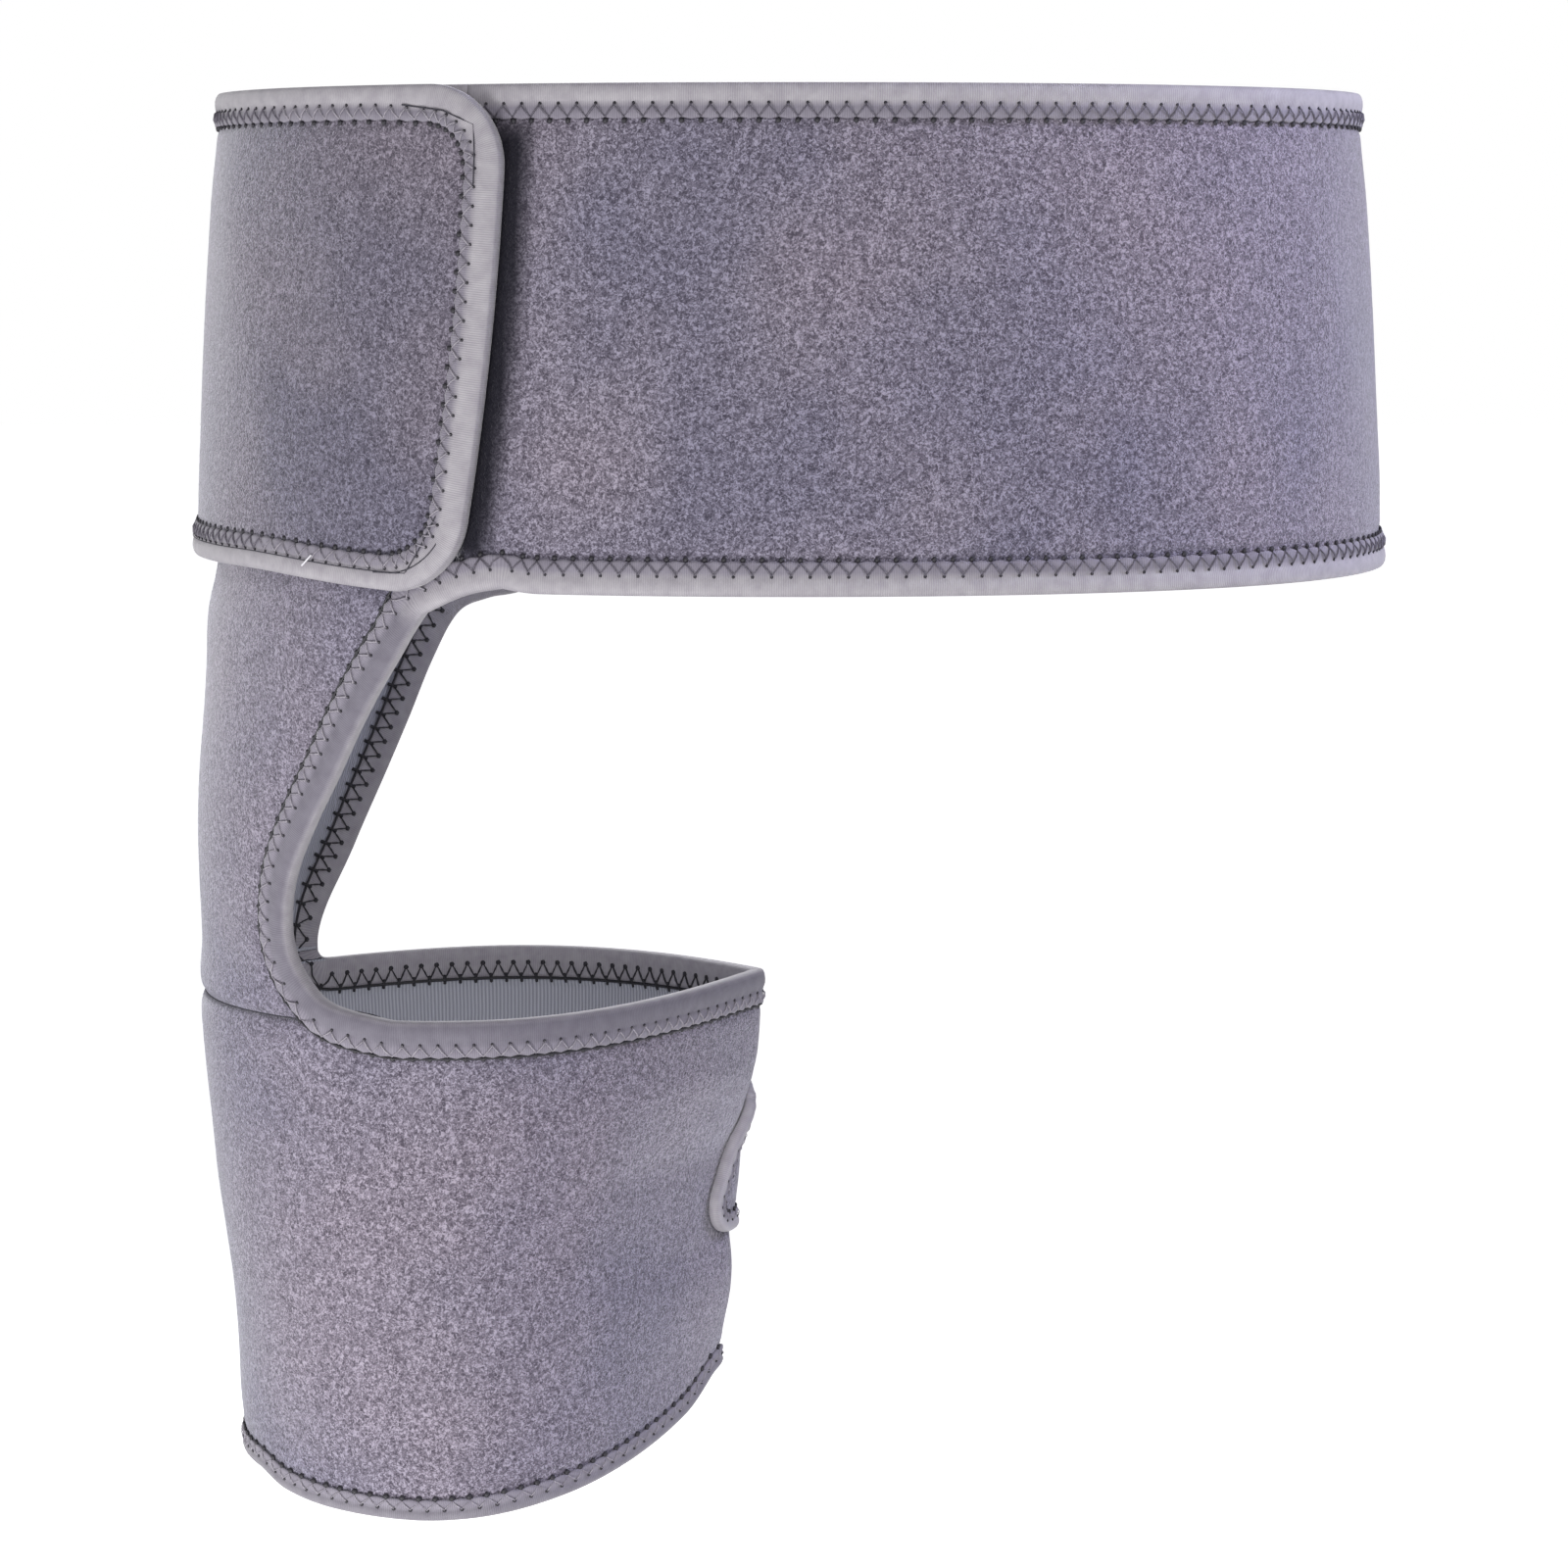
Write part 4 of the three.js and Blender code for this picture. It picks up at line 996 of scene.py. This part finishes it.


# Knitted binding tape: fine nylon ribs across its width every 0.6 mm, with a soft sheen and fluff
# in tufts of about 4 mm. Its colour is a warm pale grey on the belt's lengths and greyer round
# the opening.
def knitted_tape(name, pale, grey):
    material, tree, shader = new_material(name)
    cut = add_node(tree, "ShaderNodeUVMap", uv_map="cut").outputs["UV"]
    ribs = add_node(
        tree, "ShaderNodeTexWave", {"Vector": cut}, bands_direction="X",
        in_Scale=BANDS_PER_MM / 0.6, in_Distortion=0.5, in_Detail=1.0,
    )
    fluff = add_node(tree, "ShaderNodeTexNoise", {"Vector": cut}, in_Scale=260.0, in_Detail=3.0)
    tone = add_node(tree, "ShaderNodeAttribute", attribute_name="tone").outputs["Fac"]
    base = add_node(
        tree, "ShaderNodeMix", {0: tone}, data_type="RGBA", in_6=linear(pale), in_7=linear(grey),
    )
    shade = add_node(tree, "ShaderNodeValToRGB", {"Fac": fluff.outputs["Fac"]})
    set_stops(shade, [(0.3, "#e4e2e6"), (0.7, "#ffffff")])
    ribbed = add_node(tree, "ShaderNodeValToRGB", {"Fac": ribs.outputs["Fac"]})
    set_stops(ribbed, [(0.0, "#e6e5e9"), (1.0, "#ffffff")])
    sewn = add_node(tree, "ShaderNodeAttribute", attribute_name="sewn").outputs["Fac"]
    darkened = add_node(
        tree, "ShaderNodeMix", {0: sewn, 6: base.outputs[2]}, data_type="RGBA",
        in_7=linear("#8d8893"),
    )
    toned = add_node(
        tree, "ShaderNodeMix", {6: darkened.outputs[2], 7: shade.outputs["Color"]},
        data_type="RGBA", blend_type="MULTIPLY", in_0=1.0,
    )
    colour = add_node(
        tree, "ShaderNodeMix", {6: toned.outputs[2], 7: ribbed.outputs["Color"]},
        data_type="RGBA", blend_type="MULTIPLY", in_0=1.0,
    )
    raised = add_node(
        tree, "ShaderNodeBump", {"Height": ribs.outputs["Fac"]},
        in_Strength=0.35, in_Distance=0.0002,
    )
    tree.links.new(colour.outputs[2], shader.inputs["Base Color"])
    tree.links.new(raised.outputs["Normal"], shader.inputs["Normal"])
    shader.inputs["Roughness"].default_value = 0.7
    shader.inputs["Sheen Weight"].default_value = 0.3
    return material


tape_cloth = knitted_tape("knitted_binding_tape", "#b2aeb2", "#726e79")
garment_tape = bind_edge(
    "garment_edge_tape", garment_path, garment_frames, tape_cut, wall=CLOTH, tape=1.0, puff=1.0,
)
garment_tape.data.materials.append(tape_cloth)
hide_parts("belt_binding", "opening_binding")


# Zigzag stitching: bonded polyester thread about 0.5 mm thick, with a lock point every half
# stitch, and thicker where the lining's chain doubles it. Each needle hole's shade is painted as a
# dark bead set into the cloth. Grey thread shows on the face and near-black thread on the lining.
# The twist is drawn every 0.6 mm or so.
def spun_thread(name, colour, light):
    material, tree, shader = new_material(name)
    place = add_node(tree, "ShaderNodeTexCoord").outputs["Object"]
    twist = add_node(tree, "ShaderNodeTexNoise", {"Vector": place}, in_Scale=1600.0)
    ramp = add_node(tree, "ShaderNodeValToRGB", {"Fac": twist.outputs["Fac"]})
    set_stops(ramp, [(0.3, colour), (0.75, light)])
    tree.links.new(ramp.outputs["Color"], shader.inputs["Base Color"])
    shader.inputs["Roughness"].default_value = 0.6
    return material


face_thread = spun_thread("grey_thread", "#827d87", "#a6a1a9")
belt_thread = spun_thread("belt_grey_thread", "#4a4650", "#6d6873")
# This dark grey also draws painted shade lines in the tape's creases on the flap.
dark_thread_and_crease_shade = spun_thread("dark_grey_thread_and_crease_shade", "#22202a", "#37353f")
black_thread = spun_thread("black_thread", "#0c0b10", "#24222a")
# Painted shade: dark beads in this material stand for the shadow inside each needle hole.
hole_shade = spun_thread("needle_hole_shade", "#17151b", "#2b2830")


def thread_piece(name, strands, radius, material):
    curve = bpy.data.curves.new(name, "CURVE")
    curve.dimensions = "3D"
    curve.bevel_depth = radius * MM
    curve.bevel_resolution = 0
    curve.use_fill_caps = True
    for strand in strands:
        spline = curve.splines.new("POLY")
        spline.points.add(len(strand) - 1)
        for point, place in zip(spline.points, strand):
            point.co = (*(place * MM), 1.0)
    source = bpy.data.objects.new(name + "_curve", curve)
    bpy.context.scene.collection.objects.link(source)
    bpy.context.view_layer.update()
    graph = bpy.context.evaluated_depsgraph_get()
    mesh = bpy.data.meshes.new_from_object(source.evaluated_get(graph))
    mesh.name = name
    bpy.data.objects.remove(source)
    mesh.materials.clear()
    mesh.materials.append(material)
    return add_piece(name, mesh, smooth=False)


# Needle holes and knots: flattened beads, joined in groups of 60 so that none slows the next.
def pit_piece(name, pits, material):
    whole = bmesh.new()
    for start in range(0, len(pits), 60):
        part = bmesh.new()
        for place, normal, radius in pits[start : start + 60]:
            turned = normal.to_track_quat("Z", "Y").to_matrix().to_4x4()
            at = Matrix.Translation(place * MM) @ turned @ Matrix.Diagonal((1, 1, 0.55, 1))
            bmesh.ops.create_icosphere(part, subdivisions=1, radius=radius * MM, matrix=at)
        chunk = bpy.data.meshes.new("pits")
        part.to_mesh(chunk)
        part.free()
        whole.from_mesh(chunk)
        bpy.data.meshes.remove(chunk)
    mesh = bpy.data.meshes.new(name)
    whole.to_mesh(mesh)
    whole.free()
    mesh.materials.append(material)
    return add_piece(name, mesh)


# Zigzag on the face: from a hole in the tape over its thin edge into the cloth and back.
def face_zigzag(path, frames, cut_of, tape, sunk, outer_hole=0.5, inner_hole=0.85):
    strand = []
    pits = []
    for k in range(0, len(frames) - 2, 2):
        _, outer, inner, _ = cut_of(path[k])
        here, between = frames[k], frames[k + 1]
        first, last = (outer, inner) if k % 4 == 0 else (inner, outer)
        low = {outer: 0.55 * tape, inner: -0.25 - sunk}
        strand.append(off_edge(here, first, low[first] - 0.1))
        top = {outer: 0.95 * tape, inner: 0.42 * tape}
        strand.append(off_edge(here, lerp(first, last, 0.12), top[first] + 0.15))
        strand.append(off_edge(between, lerp(first, last, 0.5), 1.25 * tape))
        last_spot = frames[k + 2]
        strand.append(off_edge(last_spot, lerp(first, last, 0.88), top[last] + 0.15))
        radius = outer_hole if first == outer else inner_hole
        lift = 0.55 * tape if first == outer else 0.12
        past = 0.45 if first == inner else 0
        pits.append((off_edge(here, first + past, lift), here[2][0], radius))
    return strand, pits


# The belt's long edges are sewn with a darker grey than the flap's end and the opening.
def split_rows(strand, path, is_dark):
    rows = {True: [], False: []}
    before = None
    for first in range(0, len(strand), 4):
        dark = is_dark(path[first // 2])
        if dark != before:
            rows[dark].append([])
        rows[dark][-1] += strand[first : first + 4]
        before = dark
    return rows[True], rows[False]


strand, pits = face_zigzag(garment_path, garment_frames, tape_cut, tape=1.0, sunk=0.55)
belt_rows, other_rows = split_rows(
    strand, garment_path, lambda place: place[1] > -70 and place[0] < 392,
)
thread_piece("garment_face_zigzag", other_rows, radius=0.26, material=face_thread)
thread_piece("belt_face_zigzag", belt_rows, radius=0.26, material=belt_thread)
pit_piece("garment_needle_holes", pits, hole_shade)


# On the lining the zigzag is black and a chain of black thread locks it along the tape's edge.
def back_zigzag(frames, outer, inner, wall, tape):
    strand = []
    chain = []
    ticks = []
    for k in range(0, len(frames) - 2, 2):
        first, last = (outer, inner) if k % 4 == 0 else (inner, outer)
        here, between = frames[k], frames[k + 1]
        strand.append(off_edge(here, first, -wall - tape * 1.08))
        strand.append(off_edge(between, lerp(first, last, 0.5), -wall - tape * 1.3))
        if k % 4 == 2:
            ticks.append([off_edge(here, inner - 1.4, -wall - tape * 1.4),
                          off_edge(here, inner + 1.5, -wall - 0.4)])
        chain.append(off_edge(here, inner + 0.1, -wall - 0.85 * tape))
    return strand, chain, ticks


strand, chain, ticks = back_zigzag(
    garment_frames, outer=4.6, inner=9.3, wall=CLOTH, tape=1.0,
)
thread_piece("garment_lining_zigzag", [strand], radius=0.32, material=black_thread)
thread_piece("garment_lining_chain", [chain, *ticks], radius=0.5, material=black_thread)
knots = [
    (off_edge(spot, 4.6, -CLOTH - 1.1), spot[2][0], 0.9)
    for spot in garment_frames[0 : len(garment_frames) - 2 : 4]
]
pit_piece("garment_lining_knots", knots, black_thread)


# A dark chain line runs along the tape's inner edge on the face too, where the opening is.
opening = [k for k, place in enumerate(garment_path) if place[1] < -70]
face_chain = [off_edge(garment_frames[k], 10.05, 0.25) for k in opening]
thread_piece("opening_face_chain", [face_chain], radius=0.4, material=black_thread)


# On the flap's foot a fine dark line of painted shade marks the crease at the tape's inner fold,
# and one thread end is left long.
flap_foot = [
    k for k, place in enumerate(garment_path)
    if place[2] > 6 and place[0] > 355 and place[1] < -55 and k > flap_end_from
]
fold_line = [off_edge(garment_frames[k], 4.7, 1.12) for k in flap_foot]
thread_piece("flap_fold_line", [fold_line], radius=0.16, material=dark_thread_and_crease_shade)
end_at = min(flap_foot, key=lambda k: abs(face_point(*garment_path[k]).x + 131))
loose_end = [off_edge(garment_frames[end_at + k], 6.4 - 1.6 * k, 1.2 + 0.4 * k) for k in (0, 1, 2)]


# The tape is mitred at the flap's corners, which leaves a small folded square in each; dark lines
# of painted shade are drawn along its creases.
def flap_place(side, z):
    return face_point(flap_end_turn(z) - side / belt_arc, z, FLAP_LIFT + 1.05)


# Distance from the flap's end and height of each point, top corner first.
MITRES = [
    [(30, 60.9), (17, 59.3), (7.6, 55.6), (7.0, 48), (6.8, 40)],
    [(24, -61.2), (14, -61.2), (11, -55), (7.6, -46)],
]
mitres = [[flap_place(side, z) for side, z in corner] for corner in MITRES]
thread_piece("flap_corner_mitres", mitres, radius=0.2, material=dark_thread_and_crease_shade)

pale_thread = spun_thread("pale_thread", "#dcdae0", "#f4f3f6")
thread_piece("loose_thread_end", [loose_end], radius=0.26, material=pale_thread)


# Hem binding: a narrower tape round the sleeve's foot, with its own zigzag close to the edge.
hem_turns = turns_between(-180.0, 180.0, -325.0, 1.2)[:-1]
hem_path = [(-t, hem_height(-t), 0.0) for t in hem_turns]
hem_path = along_path([*hem_path, (-180.0, hem_height(-180.0), 0.0)], STITCH / 4)[:-1]
hem_path = hem_path[: len(hem_path) - len(hem_path) % 4]
hem_frames = edge_frames(hem_path, reach=7.0)


def hem_cut(place):
    return 5.9, 2.9, 5.7, 0.75


hem_tape = bind_edge(
    "hem_edge_tape", hem_path, hem_frames, hem_cut, wall=CLOTH, tape=0.9, puff=0.8, ring=True,
)
hem_tape.data.materials.append(tape_cloth)
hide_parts("hem_binding")
hem_loop = [*hem_frames, hem_frames[0], hem_frames[1], hem_frames[2]]
strand, pits = face_zigzag(
    [*hem_path, *hem_path[:3]], hem_loop, hem_cut, tape=0.9, sunk=0.45,
    outer_hole=0.66, inner_hole=1.05,
)
thread_piece("hem_face_zigzag", [strand], radius=0.19, material=face_thread)
pit_piece("hem_needle_holes", pits, hole_shade)
strand, chain, ticks = back_zigzag(hem_loop, outer=2.9, inner=5.9, wall=CLOTH, tape=0.9)
thread_piece("hem_lining_zigzag", [strand, chain, *ticks], radius=0.2, material=black_thread)


# Strap binding: thin tape round the strap's long edges and its tip, zigzagged like the rest.
strap_path = along_path(strap_outline(strap_stations(1.0)), STITCH / 4)
strap_frames = edge_frames(strap_path, reach=6.0)


def strap_tape_cut(place):
    return 5.3, 3.0, 5.3, 0.0


strap_tape = bind_edge(
    "strap_edge_tape", strap_path, strap_frames, strap_tape_cut,
    wall=STRAP_CLOTH, tape=0.78, puff=0.8,
)
strap_tape.data.materials.append(tape_cloth)
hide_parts("strap_binding")
strand, pits = face_zigzag(
    strap_path, strap_frames, strap_tape_cut, tape=0.78, sunk=0.4,
)
thread_piece("strap_face_zigzag", [strand], radius=0.17, material=face_thread)
pit_piece("strap_needle_holes", pits, hole_shade)

# Two rows of zigzag sew the strap's root down, from one bound edge to the other.
root_rows = []
for from_root in (4.0, 10.0):
    row = []
    for k in range(33):
        along = STRAP_LENGTH - from_root + (1.5 if k % 2 else -1.5)
        turn = turn_after(STRAP_TIP_TURN, STRAP_FOOT + STRAP_WIDTH / 2, along)
        z = STRAP_FOOT + lerp(5.6, STRAP_WIDTH - 5.6, k / 32)
        row.append(face_point(turn, z, strap_lift(along) + 0.6))
    root_rows.append(row)
thread_piece("strap_root_zigzag", root_rows, radius=0.24, material=dark_thread_and_crease_shade)


# Panel to sleeve seam: the two cut edges are butted and overlocked, which leaves a narrow dark
# furrow across the outer thigh.
seam_line = [face_point(-46.0 + 120.0 * i / 110, SLEEVE_SEAM, -2.1) for i in range(111)]
thread_piece("thigh_seam_thread", [seam_line], radius=0.34, material=dark_thread_and_crease_shade)


# Hook tape: dense nylon hooks about 1.1 mm apart on a woven ground, sewn inside the flap and the
# strap, where only its dark edge can be seen.
def hook_tape(name):
    material, tree, shader = new_material(name)
    place = add_node(tree, "ShaderNodeTexCoord").outputs["Object"]
    hooks = add_node(tree, "ShaderNodeTexVoronoi", {"Vector": place}, in_Scale=900.0)
    ramp = add_node(tree, "ShaderNodeValToRGB", {"Fac": hooks.outputs["Distance"]})
    set_stops(ramp, [(0.15, "#5b5961"), (0.7, "#2e2d33")])
    raised = add_node(
        tree, "ShaderNodeBump", {"Height": hooks.outputs["Distance"]},
        in_Strength=0.6, in_Distance=0.0006,
    )
    tree.links.new(ramp.outputs["Color"], shader.inputs["Base Color"])
    tree.links.new(raised.outputs["Normal"], shader.inputs["Normal"])
    shader.inputs["Roughness"].default_value = 0.55
    return material


hooks = hook_tape("nylon_hook_tape")
for node in ("flap_hook_pad", "strap_hook_pad"):
    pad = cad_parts[node]
    for slot in pad.material_slots:
        slot.material = hooks


# The photograph's view, from in front and a little above, on a plain pale floor under soft
# studio light.
camera_data = bpy.data.cameras.new("camera")
camera_data.lens = 94.2
camera_data.sensor_width = 36.0
camera_data.clip_end = 100.0
camera = bpy.data.objects.new("camera", camera_data)
camera.location = Vector((-0.0045, -1.187, 0.030))
view_line = Vector((-0.0045, 0.0, -0.132)) - camera.location
camera.rotation_euler = view_line.to_track_quat("-Z", "Y").to_euler()
bpy.context.scene.collection.objects.link(camera)
bpy.context.scene.camera = camera

floor_mesh = bmesh.new()
bmesh.ops.create_grid(floor_mesh, x_segments=1, y_segments=1, size=20.0)
bmesh.ops.translate(floor_mesh, verts=floor_mesh.verts, vec=(0.0, 0.0, -1.0))
floor_data = bpy.data.meshes.new("studio_floor")
floor_mesh.to_mesh(floor_data)
floor_mesh.free()
floor = bpy.data.objects.new("studio_floor", floor_data)
bpy.context.scene.collection.objects.link(floor)
paper, tree, shader = new_material("pale_studio_paper")
shader.inputs["Base Color"].default_value = linear("#f7f7f7")
shader.inputs["Roughness"].default_value = 0.9
shader.inputs["Emission Color"].default_value = linear("#ffffff")
shader.inputs["Emission Strength"].default_value = 0.7
floor_data.materials.append(paper)
floor.visible_diffuse = False

world = bpy.data.worlds.new("studio")
bpy.context.scene.world = world
world.use_nodes = True
sky = world.node_tree.nodes["Background"]
sky.inputs["Color"].default_value = linear("#f4f4f8")
sky.inputs["Strength"].default_value = 0.44
backdrop = add_node(world.node_tree, "ShaderNodeBackground", in_Strength=1.0)
backdrop.inputs["Color"].default_value = linear("#ffffff")
seen = add_node(world.node_tree, "ShaderNodeLightPath").outputs["Is Camera Ray"]
both = add_node(
    world.node_tree, "ShaderNodeMixShader",
    {0: seen, 1: sky.outputs["Background"], 2: backdrop.outputs["Background"]},
)
world.node_tree.links.new(both.outputs[0], world.node_tree.nodes["World Output"].inputs["Surface"])
bpy.context.scene.view_settings.view_transform = "Standard"


def soft_box(name, at, towards, size, watts, tint="#ffffff"):
    data = bpy.data.lights.new(name, "AREA")
    data.shape = "RECTANGLE"
    data.size, data.size_y = size
    data.energy = watts
    data.color = linear(tint)[:3]
    lamp = bpy.data.objects.new(name, data)
    lamp.location = Vector(at)
    lamp.rotation_euler = (Vector(towards) - lamp.location).to_track_quat("-Z", "Y").to_euler()
    bpy.context.scene.collection.objects.link(lamp)


# Places and sizes in metres.
LAMPS = {
    "side_left": {
        "at": (-2.2, 0.0, -0.2), "towards": (-0.1, 0.0, -0.2), "size": (1.2, 1.2), "watts": 4,
    },
    "side_right": {
        "at": (2.2, 0.1, 1.0), "towards": (0.1, 0.0, 0.1), "size": (1.0, 0.8), "watts": 4.5,
        "tint": "#d8d8ff",
    },
    "belt_right": {
        "at": (0.62, -0.12, 0.3), "towards": (0.15, -0.02, 0.0), "size": (0.25, 0.25),
        "watts": 3.0, "tint": "#ddddff",
    },
    "sleeve_left": {
        "at": (-0.62, -0.25, -0.5), "towards": (-0.15, 0.0, -0.25), "size": (0.3, 0.3),
        "watts": 1.1,
    },
    "front_high": {
        "at": (0.3, -2.2, 0.8), "towards": (0.0, 0.0, -0.1), "size": (0.9, 0.9), "watts": 17,
    },
    "front_low": {
        "at": (-0.4, -0.9, -0.75), "towards": (-0.14, 0.0, -0.34), "size": (0.4, 0.4),
        "watts": 8,
    },
    "back": {
        "at": (-0.4, 2.2, 0.7), "towards": (0.0, 0.0, -0.1), "size": (1.2, 1.0), "watts": 30,
    },
}
for lamp_name, settings in LAMPS.items():
    soft_box(lamp_name, **settings)
